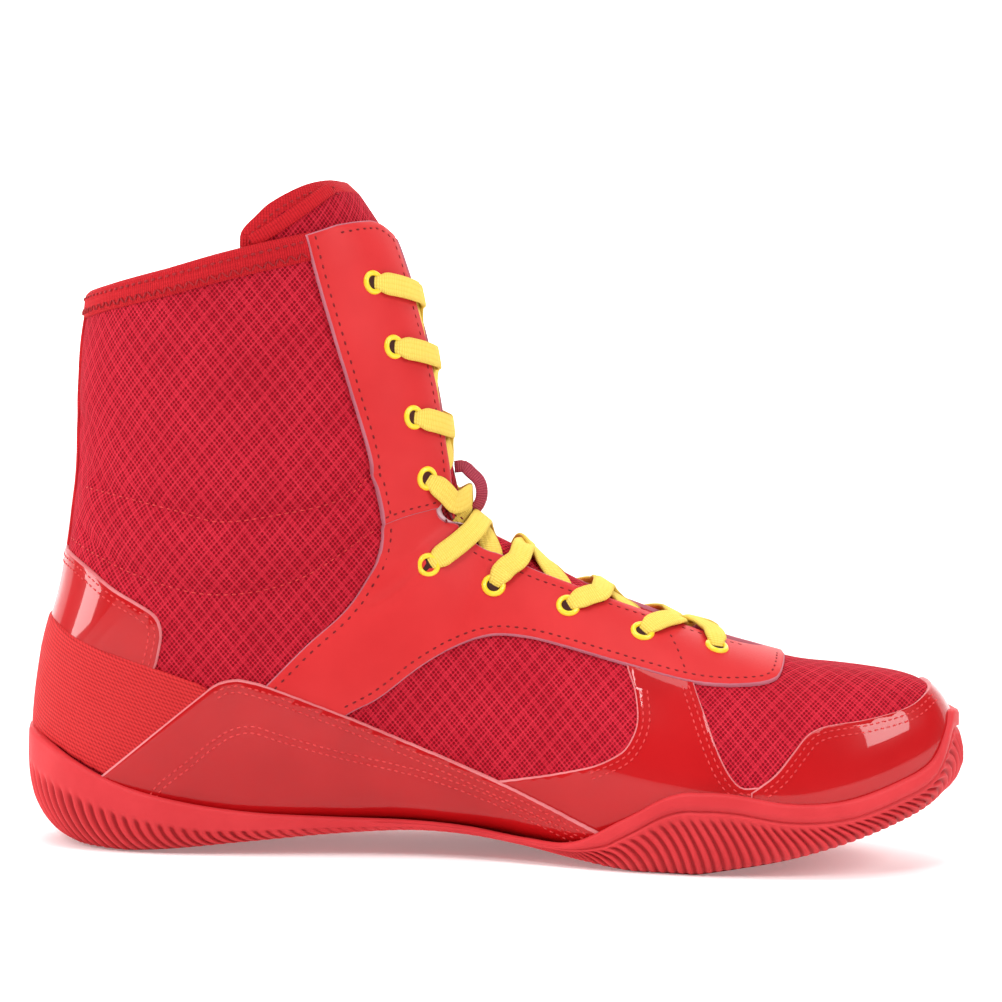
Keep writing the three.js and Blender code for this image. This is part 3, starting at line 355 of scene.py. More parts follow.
def normal_at(at, v):
    return Vector(read(NORMALS, at, v)).normalized()


def length_at(at, side):
    return float(np.interp(at, STATIONS, LENGTHS[side]))


def locate(x, z, side):
    """Station and share of the way round of a point seen in the side view"""
    back, front = SECTIONS["back"], SECTIONS["front"]
    cross = (x - back[0]) * (front[1] - back[1]) - (z - back[1]) * (front[0] - back[0])
    best = None
    for i in np.nonzero(np.sign(cross[:-1]) != np.sign(cross[1:]))[0]:
        f = cross[i] / (cross[i] - cross[i + 1])
        low = back[:, i] + (back[:, i + 1] - back[:, i]) * f
        run = front[:, i] + (front[:, i + 1] - front[:, i]) * f - low
        share = float(np.dot((x - low[0], z - low[1]), run) / np.dot(run, run))
        miss = max(0, -share, share - 1)
        if best is None or miss < best[0]:
            best = (miss, i, i + f, share)
    _, i, row, share = best
    turn = acos(1 - 2 * min(max(share, 0), 1) ** (1 / SECTIONS["wide"][i]))
    return row * STATION, side * float(np.interp(turn, TURNS, SHARES[side][i]))


def walk(at, v, direction, distance):
    """The station and share reached by going a few millimetres over the last in a direction"""
    steps = max(1, int(round(abs(distance) / 1.2)))
    for _ in range(steps):
        along = (on_last(at + 0.5, v) - on_last(at - 0.5, v)) * 1000
        around = (on_last(at, v + 0.005) - on_last(at, v - 0.005)) * 1000
        gone = np.linalg.lstsq(np.array((along, around)).T, np.array(direction) * distance / steps, rcond=None)[0]
        at, v = at + float(gone[0]), v + float(gone[1]) * 0.01
    return at, v


def traced(pairs, side, spacing=1.5):
    """A smooth outline of the side view, laid on the last"""
    points = np.stack(side_point(*np.array(pairs).T), axis=1)
    return [locate(x, z, side) for x, z in resample(points, spacing)]


def rim_run(start, end, side, below=3.5, spacing=2.0):
    """Along the sole's rim, a little below its top"""
    count = max(2, int(abs(end - start) * SHOE_LENGTH / spacing))
    return [locate(u * SHOE_LENGTH, float(rim(u)) - below, side) for u in np.linspace(start, end, count)]


def throat_shares(side):
    """How far round each ring the throat's edge lies"""
    half = follow(THROAT_GAP["u"], THROAT_GAP["gap"], SECTIONS["front"][0] / SHOE_LENGTH) * THROAT_WIDTH / 2
    rings = MEDIAL if side < 0 else LATERAL
    away = np.abs(rings[:, :, 1] - SECTIONS["ridge"][:, None])
    start = HALF_RING // 2
    return np.array([1 - np.interp(half[i], away[i, :start:-1], np.arange(HALF_RING - start) / HALF_RING)
                     for i in range(len(half))])


THROAT = {side: throat_shares(side) for side in (-1, 1)}


def throat(at, side):
    return float(np.interp(at, STATIONS, THROAT[side]))


# Materials
class Value:
    """A socket of a material's nodes that ordinary arithmetic can be done on"""

    def __init__(self, tree, socket):
        self.tree, self.socket = tree, socket

    def sum(self, operation, first, second=None):
        node = self.tree.nodes.new("ShaderNodeMath")
        node.operation = operation
        for place, given in enumerate((first, second)):
            if isinstance(given, Value):
                self.tree.links.new(given.socket, node.inputs[place])
            elif given is not None:
                node.inputs[place].default_value = given
        return Value(self.tree, node.outputs[0])

    def __add__(self, other):
        return self.sum("ADD", self, other)

    def __radd__(self, other):
        return self.sum("ADD", other, self)

    def __sub__(self, other):
        return self.sum("SUBTRACT", self, other)

    def __rsub__(self, other):
        return self.sum("SUBTRACT", other, self)

    def __mul__(self, other):
        return self.sum("MULTIPLY", self, other)

    def __rmul__(self, other):
        return self.sum("MULTIPLY", other, self)

    def __pow__(self, other):
        return self.sum("POWER", self, other)

    def sine(self):
        return self.sum("SINE", self)

    def size(self):
        return self.sum("ABSOLUTE", self)

    def step(self, low, high):
        node = self.tree.nodes.new("ShaderNodeMapRange")
        node.interpolation_type = "SMOOTHSTEP"
        self.tree.links.new(self.socket, node.inputs["Value"])
        node.inputs["From Min"].default_value, node.inputs["From Max"].default_value = low, high
        return Value(self.tree, node.outputs[0])


class Finish:
    """A material with one surface shader"""

    def __init__(self, name, **constants):
        self.material = bpy.data.materials.new(name)
        self.material.use_nodes = True
        self.tree = self.material.node_tree
        self.shader = self.tree.nodes["Principled BSDF"]
        for socket, value in constants.items():
            self.shader.inputs[socket.replace("_", " ")].default_value = value

    def node(self, kind, output=0, settings=None, **inputs):
        node = self.tree.nodes.new(kind)
        for name, value in (settings or {}).items():
            setattr(node, name, value)
        for name, value in inputs.items():
            self.feed(node.inputs[name.replace("_", " ")], value)
        return Value(self.tree, node.outputs[output])

    def feed(self, socket, value):
        if isinstance(value, Value):
            self.tree.links.new(value.socket, socket)
        else:
            socket.default_value = value

    def place(self):
        return self.node("ShaderNodeTexCoord", "Object")

    def cloth(self):
        """Along and across of the piece's own flat pattern, in millimetres"""
        split = self.tree.nodes.new("ShaderNodeSeparateXYZ")
        uv = self.node("ShaderNodeUVMap", settings={"uv_map": "flat"})
        self.tree.links.new(uv.socket, split.inputs[0])
        return Value(self.tree, split.outputs[0]) * 1000, Value(self.tree, split.outputs[1]) * 1000

    def noise(self, scale, detail=2.0, where=None):
        return self.node("ShaderNodeTexNoise", "Fac", Vector=where or self.place(), Scale=scale, Detail=detail)

    def mix(self, factor, first, second):
        node = self.tree.nodes.new("ShaderNodeMix")
        node.data_type = "RGBA"
        for place, value in ((0, factor), (6, first), (7, second)):
            self.feed(node.inputs[place], (*value, 1) if isinstance(value, tuple) else value)
        return Value(self.tree, node.outputs[2])

    def bump(self, height, distance, strength=1.0):
        self.feed(self.shader.inputs["Normal"], self.node(
            "ShaderNodeBump", Height=height, Distance=distance, Strength=strength))

    def color(self, value):
        self.feed(self.shader.inputs["Base Color"], (*value, 1) if isinstance(value, tuple) else value)

    def rough(self, value):
        self.feed(self.shader.inputs["Roughness"], value)


def mesh_finish():
    made = Finish("knitted mesh", Specular_IOR_Level=0.12)
    along, across = made.cloth()
    rising, falling = (along * 1.15 + across) * (pi / 1.7), (along * 1.15 - across) * (pi / 1.7)
    holes_and_shade = (rising.sine() * falling.sine()).size().step(0.12, 0.7)
    wide, other = (((along * 1.25 + slope * across) * (pi / 6.6)).sine().size().step(0.0, 0.55) for slope in (1, -1))
    lines = 1 - wide * other
    holes_and_shade = holes_and_shade * (1 - 0.5 * lines)
    blotch = made.noise(90, 3)
    yarn = made.mix(blotch.step(0.3, 0.7), (0.54, 0.012, 0.030), (0.62, 0.018, 0.040))
    yarn = made.mix(lines * 0.35, yarn, (0.68, 0.034, 0.058))
    # painted shade: the mesh holes are real, and their dark colour (0.23, 0.002, 0.009) is painted shade over what lies
    # beneath them
    made.color(made.mix(holes_and_shade, yarn, (0.23, 0.002, 0.009)))
    made.rough(0.85 + 0.1 * blotch)
    made.bump(1 - holes_and_shade + 0.5 * lines + 0.1 * blotch, 0.00035, 0.8)
    return made.material


def leather_finish(name, base, shade):
    made = Finish(name, Specular_IOR_Level=0.2)
    blotch, grain = made.noise(35, 3), made.noise(1500, 4)
    made.color(made.mix(blotch.step(0.25, 0.75), base, shade))
    made.rough(0.42 + 0.12 * grain)
    made.bump(grain, 0.00006, 0.5)
    return made.material


def patent_finish():
    made = Finish("patent", Coat_Weight=0.72, Coat_Roughness=0.03, Coat_IOR=1.45, Specular_IOR_Level=0.1)
    blotch, wave = made.noise(30, 2), made.noise(120, 2)
    made.color(made.mix(blotch.step(0.3, 0.7), (0.42, 0.003, 0.005), (0.48, 0.005, 0.007)))
    made.rough(0.28 + 0.05 * blotch)
    made.bump(wave, 0.0002, 0.25)
    return made.material


def plain_finish(name, base, shade, rough, scale, depth, **constants):
    made = Finish(name, **constants)
    blotch, grain = made.noise(60, 3), made.noise(scale, 3)
    made.color(made.mix(blotch.step(0.3, 0.7), base, shade))
    made.rough(rough + 0.1 * grain)
    made.bump(grain, depth, 0.7)
    return made.material


def rubber_finish():
    """Moulded rubber, darker with painted shade where the pattern says that a groove runs"""
    made = Finish("moulded rubber with painted groove shade", Specular_IOR_Level=0.22)
    groove, _ = made.cloth()
    blotch, grain = made.noise(60, 3), made.noise(1100, 3)
    wall = made.mix(blotch.step(0.3, 0.7), (0.57, 0.028, 0.034), (0.62, 0.035, 0.042))
    # painted shade: the groove colour (0.36, 0.010, 0.014) stands for shade in the rib grooves
    made.color(made.mix((groove * 0.001).step(0.15, 0.95), wall, (0.36, 0.010, 0.014)))
    made.rough(0.5 + 0.1 * grain)
    made.bump(grain, 0.00006, 0.7)
    return made.material


def weave_finish(name, base, thread_gap_shade, pitch, ribs, rough=0.8):
    """Threads that cross at a pitch, with raised ribs along the cloth where asked, and painted shade darkening the low
    places between threads
    """
    made = Finish(name, Specular_IOR_Level=0.15)
    along, across = made.cloth()
    threads = (along * (pi / pitch)).sine().size() * (across * (pi / pitch)).sine().size()
    height = (1 - ribs) * threads + ribs * (along * (pi / pitch)).sine().size()
    fuzz = made.noise(900, 3)
    # painted shade: the low places of the weave take the darker colour
    made.color(made.mix((height + 0.5 * fuzz).step(0.1, 0.9), thread_gap_shade, base))
    made.rough(rough)
    made.bump(height + 0.3 * fuzz, 0.00025, 0.8)
    return made.material


def twill_finish():
    made = Finish("elastic webbing", Specular_IOR_Level=0.2)
    along, across = made.cloth()
    slant = ((along * 0.9 + across * 0.5) * (pi / 0.9)).sine().size()
    rows = ((across + along * 0.3) * (pi / 1.15)).sine().size()
    height = slant * 0.45 + rows * 0.55
    blotch = made.noise(250, 3)
    # painted shade: the low places of the twill take the dark colour (0.34, 0.006, 0.008)
    made.color(made.mix(height.step(0.15, 0.9), (0.34, 0.006, 0.008), (0.62, 0.026, 0.028)))
    made.rough(0.62 + 0.15 * blotch)
    made.bump(height + 0.2 * blotch, 0.0002, 0.8)
    return made.material


MESH = mesh_finish()
LEATHER = leather_finish("smooth leather", (0.57, 0.019, 0.021), (0.63, 0.027, 0.029))
PATENT = patent_finish()
PATENT_EDGE = plain_finish("patent cut edge", (0.58, 0.12, 0.13), (0.66, 0.19, 0.20), 0.5, 900, 0.0001)
LEATHER_EDGE = plain_finish("leather cut edge", (0.42, 0.10, 0.14), (0.50, 0.14, 0.18), 0.7, 900, 0.0001)
WEBBING = twill_finish()
RUBBER = rubber_finish()
# the second colour of each weave below is painted shade between its threads
LACE = weave_finish("woven lace", (0.92, 0.67, 0.13), (0.80, 0.54, 0.07), 0.7, 0.3)
EYELET = plain_finish("enamelled eyelet", (0.92, 0.62, 0.01), (0.95, 0.70, 0.03), 0.28, 500, 0.00003, Coat_Weight=0.4)
BINDING = weave_finish("knit binding", (0.55, 0.012, 0.018), (0.36, 0.005, 0.010), 0.9, 0.35)
RIBBON = weave_finish("loop ribbon", (0.40, 0.045, 0.075), (0.22, 0.012, 0.03), 0.7, 0.7)
LINING = weave_finish("lining", (0.50, 0.030, 0.040), (0.34, 0.012, 0.018), 0.8, 0.0)
THREAD = plain_finish("sewing thread", (0.62, 0.020, 0.024), (0.70, 0.040, 0.040), 0.6, 2500, 0.00004)
DARK_THREAD = plain_finish("binding thread", (0.30, 0.005, 0.010), (0.36, 0.008, 0.013), 0.8, 2500, 0.00004)
# the stitches on the leather are real, and their dark colour is painted shade in their sunk holes
STITCH_HOLE_SHADE = plain_finish("needle holes in painted shade", (0.17, 0.004, 0.006), (0.22, 0.008, 0.010), 0.9, 900, 0.00003)
# painted shade: a near-black disc stands for the shade inside each eyelet's hole
EYELET_HOLE_SHADE = plain_finish("eyelet hole", (0.035, 0.006, 0.005), (0.06, 0.010, 0.008), 0.9, 900, 0.00003)
FOAM = plain_finish("raw foam edge", (0.78, 0.62, 0.64), (0.62, 0.36, 0.40), 0.9, 700, 0.0004)


# Pieces
def finish_piece(bm, name, slot, materials, *nodes):
    bmesh.ops.remove_doubles(bm, verts=bm.verts[:], dist=1e-6)
    mesh = bpy.data.meshes.new(name)
    for face in bm.faces:
        face.smooth = True
    bm.to_mesh(mesh)
    bm.free()
    piece = bpy.data.objects.new(name, mesh)
    bpy.context.collection.objects.link(piece)
    for material in materials:
        mesh.materials.append(material)
    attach(piece, "root")
    if nodes:
        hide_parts(*nodes)
    return piece


REACH = 130


def lay(bm):
    """Bends a flat pattern onto the last: x is the station, y the way round, z the lift"""
    flat = bm.loops.layers.uv.new("flat")
    for face in bm.faces:
        for loop in face.loops:
            at, round_ = loop.vert.co.x, loop.vert.co.y / REACH
            loop[flat].uv = read(FLAT, at, round_) * 0.001
    for vert in bm.verts:
        vert.co = on_last(vert.co.x, vert.co.y / REACH, vert.co.z)
    bmesh.ops.reverse_faces(bm, faces=bm.faces[:])


def panel(name, slot, materials, loop, top, bottom, *nodes, step=2.2, edge=0.45, drop=0.35, swell=None):
    """A sewn piece cut to a closed outline, with a rounded edge that goes down to what lies under it"""
    bm = bmesh.new()
    clean = [spot for i, spot in enumerate(loop)
             if abs(spot[0] - loop[i - 1][0]) + REACH * abs(spot[1] - loop[i - 1][1]) > 0.25]
    face = bm.faces.new([bm.verts.new((at, v * REACH, top)) for at, v in clean])
    face.normal_update()
    if face.normal.z < 0:
        face.normal_flip()
    border = bmesh.ops.inset_individual(bm, faces=[face], thickness=edge, use_even_offset=False)["faces"]
    for strip in border:
        strip.material_index = 1
    for vert in bm.verts:
        if vert.is_boundary:
            vert.co.z -= drop
    for axis in (0, 1):
        places = [vert.co[axis] for vert in bm.verts]
        count = int((max(places) - min(places)) / step)
        for i in range(1, count):
            place = min(places) + (max(places) - min(places)) * i / count
            bmesh.ops.bisect_plane(bm, geom=bm.verts[:] + bm.edges[:] + bm.faces[:],
                                   plane_co=(place, place, 0), plane_no=(axis == 0, axis == 1, 0))
    grown = bmesh.ops.extrude_edge_only(bm, edges=[e for e in bm.edges if e.is_boundary])["geom"]
    for item in grown:
        if isinstance(item, bmesh.types.BMVert):
            item.co.z = bottom
        elif isinstance(item, bmesh.types.BMFace):
            item.material_index = 1
    if swell:
        for vert in bm.verts:
            vert.co.z += swell(vert.co.x, vert.co.y / REACH)
    lay(bm)
    return finish_piece(bm, name, slot, materials, *nodes)


def sheet(cols, rows, spot, uv=None):
    """A grid of faces with each corner put at spot(share along, share across), in metres"""
    bm = bmesh.new()
    bmesh.ops.create_grid(bm, x_segments=cols, y_segments=rows, size=0.5)
    flat = bm.loops.layers.uv.new("flat")
    for face in bm.faces:
        for loop in face.loops:
            a, b = loop.vert.co.x + 0.5, loop.vert.co.y + 0.5
            loop[flat].uv = (uv(a, b) if uv else (a, b))
    for vert in bm.verts:
        vert.co = spot(vert.co.x + 0.5, vert.co.y + 0.5)
    return bm


def turn_out(bm, outward):
    """Faces the sheet the way that outward gives at one of its faces"""
    face = max(bm.faces, key=lambda f: f.calc_area())
    face.normal_update()
    if face.normal.dot(outward(face.calc_center_median())) < 0:
        bmesh.ops.reverse_faces(bm, faces=bm.faces[:])
    bm.normal_update()


# Sole
def sole_outline(count):
    """Rim points of both sides, evenly spaced from heel to toe: place, outward direction and distance run"""
    sides = []
    for name, sign in (("medial", -1), ("lateral", 1)):
        u = (1 - np.cos(np.linspace(0, pi, 4001))) / 2
        points = np.stack([u * SHOE_LENGTH, sign * half_width(name, u)], axis=1)
        runs = np.concatenate([[0], np.cumsum(np.linalg.norm(np.diff(points, axis=0), axis=1))])
        even = np.linspace(0, runs[-1], count + 1)
        placed = np.stack([np.interp(even, runs, points[:, k]) for k in (0, 1)], axis=1)
        sides.append((placed, even))
    medial, lateral = sides
    loop = np.concatenate([medial[0], lateral[0][-2:0:-1]])
    run = np.concatenate([medial[1], lateral[1][-2:0:-1]])
    ahead = np.roll(loop, -1, axis=0) - np.roll(loop, 1, axis=0)
    for _ in range(6):
        ahead = (np.roll(ahead, 1, axis=0) + ahead + np.roll(ahead, -1, axis=0)) / 3
    ahead /= np.linalg.norm(ahead, axis=1, keepdims=True)
    return loop, np.stack([ahead[:, 1], -ahead[:, 0]], axis=1), run


RIM_COUNT = 640
RIB_DEPTH = 1.3
TOE_LEAN = 2.6
RIM_LOOP, RIM_OUT, RIM_RUN = sole_outline(RIM_COUNT)


def rib(u, run, share, rise):
    """How far the wall stands in or out, of a rib pattern that hooks forwards"""
    front = smooth(u, 0.50, 0.60)
    lean = (1 - front) * (11 - 16 * u) * share**2.2 - front * (9 + 18 * max(0, u - 0.8)) * (1 - share) ** 1.6
    pitch = 3.6 - 0.6 * front
    wave = 0.5 + 0.5 * cos(2 * pi * (run - lean) / pitch)
    fade = smooth(share, 0.0, 0.2) if front > 0.5 else smooth(share, 0.10, 0.28)
    return -RIB_DEPTH * (1 - wave**0.7) * fade * min(1, rise / 10)


LIP = [(5.2, -4.5), (4.2, -1.2), (3.5, -0.25), (2.4, 0.0), (1.1, -0.05), (0.35, -0.4), (0.05, -1.1)]
WALL_ROWS = 26


def sole_groove_shade(a, b):
    """How deep in a groove the sole's surface lies, as a pattern's first value, which the rubber paints as shade"""
    i = round(a * 2 * RIM_COUNT) % (2 * RIM_COUNT)
    share = (round(b * (len(LIP) + 5 + WALL_ROWS)) - len(LIP) - 4) / (WALL_ROWS + 1)
    u = RIM_LOOP[i][0] / SHOE_LENGTH
    if share <= 0:
        return 0, 0
    return -rib(u, RIM_RUN[i], share, max(float(rim(u) - tread(u)), 1)) / RIB_DEPTH, 0


def sole_point(a, b):
    i = round(a * 2 * RIM_COUNT) % (2 * RIM_COUNT)
    (x, y), (ox, oy), run = RIM_LOOP[i], RIM_OUT[i], RIM_RUN[i]
    u = x / SHOE_LENGTH
    tuck = SOLE_TUCK * float(column(SOLE_LINE, "tuck", u))
    low = float(tread((x - ox * tuck) / SHOE_LENGTH))
    top = max(float(rim(u)), float(seat(u)) + 0.3)
    rise = top - low
    band = min(RIM_BAND, rise * 0.45)
    groove = GROOVE_DEPTH * smooth(u, 0.55, 0.62)
    stops = LIP + [(0.0, -0.6 * band), (0.0, -0.86 * band), (groove, -0.93 * band), (groove, -1.0 * band), (0.15 * groove, -1.08 * band)]
    row = round(b * (len(stops) + WALL_ROWS))
    lean = TOE_LEAN * float(smooth(u, 0.96, 1.0))
    if row < len(stops):
        depth, drop = stops[row]
        depth += lean
        scale = min(1, rise / 12) if row < 2 else 1
        return world(x - ox * depth, y - oy * depth, top + drop * scale)
    share = (row - len(stops) + 1) / (WALL_ROWS + 1)
    bulge = tuck * (1 - (1 - min(share, 0.9999) ** 2.4) ** (1 / 2.4)) if row - len(stops) < WALL_ROWS else tuck
    depth = bulge - rib(u, run, share, rise) + lean * max(0, 1 - share / 0.5) ** 1.5
    z = low + (rise - 1.08 * band) * (1 - share)
    return world(x - ox * depth, y - oy * depth, z)


def foot_point(a, b):
    """The tread between the two foot lines of the wall, with shallow cross ribs"""
    i = round(a * RIM_COUNT)
    j = (2 * RIM_COUNT - i) % (2 * RIM_COUNT)
    ends = []
    for k in (i, j):
        (x, y), (ox, oy) = RIM_LOOP[k], RIM_OUT[k]
        tuck = SOLE_TUCK * float(column(SOLE_LINE, "tuck", x / SHOE_LENGTH)) - 0.15
        ends.append((x - ox * tuck, y - oy * tuck))
    x, y = (ends[0][k] + (ends[1][k] - ends[0][k]) * b for k in (0, 1))
    inside = min(1, 8 * b, 8 * (1 - b))
    wave = 0.5 + 0.5 * sin(2 * pi * (x + 3 * sin(2 * pi * y / 22)) / 7)
    return world(x, y, float(tread(x / SHOE_LENGTH)) + 0.7 * inside * wave**2)


def make_sole():
    rows = len(LIP) + 5 + WALL_ROWS
    bm = sheet(2 * RIM_COUNT, rows, sole_point, sole_groove_shade)
    turn_out(bm, lambda centre: Vector((centre.x, centre.y * 3, 0)))
    foot = sheet(RIM_COUNT // 2, 24, foot_point, lambda a, b: (0, 0))
    turn_out(foot, lambda centre: Vector((0, 0, -1)))
    spare = bpy.data.meshes.new("tread")
    foot.to_mesh(spare)
    foot.free()
    bm.from_mesh(spare)
    finish_piece(bm, "sole", "rubber", [RUBBER], "outsole")


# Upper
FAR_RISE = 3.0


def collar_height(x):
    line = np.stack(side_point(*np.array(COLLAR_LINE + STAY_TOP).T), axis=1)
    return float(np.interp(x, line[:, 0], line[:, 1]))


def collar_station(c, side, below=0.0):
    """The station where the collar's line crosses a share of the way from the back to the throat"""
    low, high = 300.0, STATIONS[-1]
    for _ in range(24):
        middle = (low + high) / 2
        v = c * throat(middle, side)
        x, _, z = read(LAST, middle, v)
        if z < collar_height(x) - below + (FAR_RISE * sin(pi * min(1, c / 0.8)) if side > 0 else 0):
            low = middle
        else:
            high = middle
    return low


def opening(at, side):
    """How far round the mesh reaches at a station: to the throat's edge, or to the notch"""
    line = sorted((spot, abs(v)) for spot, v in traced(NOTCH_FOOT[:-1] + NOTCH_TOP, side))
    stops, reach = zip(*line)
    edge = throat(at, side)
    return min(edge, float(np.interp(at, stops, reach))) if stops[0] < at < stops[-1] else edge


def make_upper():
    cols, rows = 150, 230
    edges = {side: [opening(at, side) for at in STATIONS] for side in (-1, 1)}
    tops = {}
    for i in range(cols + 1):
        c = 2 * i / cols - 1
        tops[i] = collar_station(abs(c), -1 if c < 0 else 1, 1.0)

    def pattern(a, b):
        i = round(a * cols)
        c = 2 * a - 1
        at = 2 + (tops[i] - 2) * b
        return at, c * float(np.interp(at, STATIONS, edges[-1 if c < 0 else 1]))

    bm = sheet(cols, rows, lambda a, b: on_last(*pattern(a, b)), lambda a, b: read(FLAT, *pattern(a, b)) * 0.001)
    bmesh.ops.remove_doubles(bm, verts=bm.verts[:], dist=2e-5)
    turn_out(bm, lambda centre: Vector((centre.x - 0.02, centre.y * 5, 0)))
    piece = finish_piece(bm, "upper_mesh", "mesh", [MESH, LINING], "upper")
    wall = piece.modifiers.new("wall", "SOLIDIFY")
    wall.thickness, wall.offset, wall.material_offset, wall.material_offset_rim = 0.002, -1, 1, 1


def ended(run, line):
    """The run with only one point left at each end that lies on the front or the back line"""
    first, last = 0, len(run) - 1
    while abs(abs(run[first + 1][1]) - line) < 1e-3:
        first += 1
    while abs(abs(run[last - 1][1]) - line) < 1e-3:
        last -= 1
    return run[first:last + 1]


def both(half, wraps_front):
    """A closed outline from one side's open one, whose ends lie on the front or the back line"""
    lateral, medial = (ended(half(side), 1 if wraps_front else 0) for side in (1, -1))
    if wraps_front:
        medial = [(at, 2 + v) for at, v in medial]
    return lateral + medial[::-1]


def strap_half(side):
    return traced(STRAP_TOP[:-1] + [(0.18, 0.467), (0.215, 0.42)], side) + rim_run(0.13, 0.0, side, below=-1.2)


def counter_half(side):
    return traced(COUNTER_TOP + [(0.135, 0.46)], side) + traced([(0.12, 0.45), (0.066, 0.50), (0.026, 0.56), (0.0, 0.59)], side)


def wing(side):
    return traced(WING_REAR, side) + traced(WING_FRONT, side)[1:] + rim_run(0.62, 0.085, side)


def ball_panel(side):
    return traced(BALL_BACK, side) + rim_run(0.46, 0.80, side) + traced(BALL_FRONT[::-1], side)


def toe_cap_half(side):
    return [(1.0, side * 0.55)] + rim_run(0.972, 0.76, side) + traced(TOE_CAP_TOP, side)


def throat_run(start, end, side, spacing=1.5):
    count = max(2, int(abs(end - start) / spacing))
    return [(at, side * throat(at, side)) for at in np.linspace(start, end, count)]


def inside_throat(run, side):
    return [(at, side * min(abs(v), throat(at, side))) for at, v in run]


def shaft_stay(side):
    top = inside_throat(traced(STAY_TOP, side), side)
    notch = inside_throat(traced(NOTCH_TOP, side), side)
    back = traced([(0.291, 1.955)] + SHAFT_STAY_BACK, side)
    return back + traced(STAY_SEAM, side) + notch[1:] + throat_run(notch[-1][0], top[-1][0], side)[1:] + top[::-1][1:]


def vamp_half(side):
    notch = inside_throat(traced(NOTCH_FOOT, side), side)
    seam = traced([(0.430, 1.020), (0.403, 1.004), (0.379, 0.975)], side)
    return notch + seam + traced(VAMP_STRAP_BACK, side) + traced(VAMP_STAY_EDGE, side)


def throat_end():
    return float(np.interp(-0.782 * SHOE_LENGTH, -SECTIONS["front"][0], STATIONS))


def vamp_loop():
    lateral, medial = vamp_half(1), [(at, 2 + v) for at, v in vamp_half(-1)]
    end = throat_end()
    down = [(at, 2 + v) for at, v in throat_run(medial[0][0], end, -1)]
    up = throat_run(end, lateral[0][0], 1)
    return lateral + medial[::-1] + down[1:] + up[1:-1]


def tongue_half(side):
    return traced(TONGUE_SIDE, side)


STRAP_LIFT, BALL_LIFT, VAMP_LIFT, STAY_LIFT, TOE_LIFT, COUNTER_LIFT, WING_LIFT = 1.7, 0.9, 1.3, 1.7, 1.2, 1.1, 2.1

make_sole()
make_upper()
panel("heel_strap_band", "webbing", [WEBBING, WEBBING], both(strap_half, False), STRAP_LIFT, -0.4, "heel_strap")
panel("counter_patent", "patent", [PATENT, PATENT_EDGE], both(counter_half, False), COUNTER_LIFT, -0.4, "heel_counter")
panel("toe_cap_patent", "patent", [PATENT, PATENT_EDGE], both(toe_cap_half, True), TOE_LIFT, -0.4, "toe_cap")
panel("vamp_stay_leather", "smooth_leather", [LEATHER, LEATHER_EDGE], vamp_loop(), VAMP_LIFT, -0.4, "vamp_eyestay")
tongue = panel("tongue_padded", "mesh", [MESH, BINDING], both(tongue_half, True), TONGUE_LIFT,
               TONGUE_LIFT - TONGUE_THICKNESS, "tongue", edge=4.2, drop=0.9)
for name, side in (("medial", -1), ("lateral", 1)):
    panel(f"wing_{name}", "patent", [PATENT, PATENT_EDGE], wing(side), WING_LIFT, -0.4, f"side_wing_{name}")
    panel(f"ball_{name}", "patent", [PATENT, PATENT_EDGE], ball_panel(side), BALL_LIFT, -0.4, f"ball_panel_{name}")
    panel(f"shaft_stay_{name}", "smooth_leather", [LEATHER, LEATHER_EDGE], shaft_stay(side), STAY_LIFT, -0.4,
          f"shaft_eyestay_{name}")


# Collar binding and back strip
BINDING_ENDS = {side: abs(locate(*(float(k) for k in side_point(0.297, 1.96)), side)[1]) for side in (-1, 1)}
BINDING_ROUND = [(7.6, 0.1), (7.3, 0.8), (6.4, 1.1), (4.2, 1.2), (2.0, 1.25), (0.6, 1.0), (-0.4, 0.2), (-0.8, -0.9),
                 (-0.4, -2.0), (0.6, -2.9), (2.2, -3.2), (4.6, -3.1), (6.4, -2.5)]


def binding_spot(c, down):
    """Station and share of the way round at a share along the binding, some millimetres below its top"""
    side = -1 if c < 0 else 1
    share = abs(c) * BINDING_ENDS[side]
    top = collar_station(share / throat(STATIONS[-1] - 60, side), side)
    scale = (on_last(top, side * share) - on_last(top - 4, side * share)).length * 1000 / 4
    return top - down / scale, side * share


def make_binding():
    cols, last = 120, len(BINDING_ROUND) - 1

    def place(a, b):
        down, lift = BINDING_ROUND[round(b * last)]
        return on_last(*binding_spot(2 * a - 1, down), lift)

    bm = sheet(cols, last, place, lambda a, b: (a * 0.23, b * 0.018))
    turn_out(bm, lambda centre: Vector((centre.x + 0.09, centre.y, 0.01)))
    finish_piece(bm, "collar_roll", "binding", [BINDING], "collar_binding")


def strip_half(side):
    low, high = (locate(*(float(k) for k in side_point(u, h)), side)[0] for u, h in ((0.03, 0.84), (0.05, 1.67)))
    run = [(at, side * BACK_STRIP_WIDTH / 2 / length_at(at, side)) for at in np.linspace(low, high, 40)]
    return [(low, 0)] + run + [(high, 0)]


make_binding()
half = strip_half(1)
panel("back_seam_strip", "binding", [BINDING, BINDING], half + [(at, -v) for at, v in half[-2:0:-1]], 0.8, -0.2,
      "back_strip", step=1.6)


# Foam shown at the notch's back edge
def foam_half(side):
    outer = traced(NOTCH_FOOT[1:-1] + NOTCH_TOP, side)
    inner = [walk(at, v, Vector((1, 0, 0.1)), 2.3) for at, v in outer]
    return outer + inner[::-1]


for name, side in (("medial", -1), ("lateral", 1)):
    foam = panel(f"notch_foam_{name}", "lining", [FOAM, FOAM], foam_half(side), 1.2, -1.8, step=1.2, edge=0.2,
                 drop=0.2)


# Eyelets and laces
def eyelet_spot(row, side):
    return locate(*(float(k) for k in side_point(*EYELETS[row])), side)


def stay_lift(row):
    return STAY_LIFT if row < 4 else VAMP_LIFT


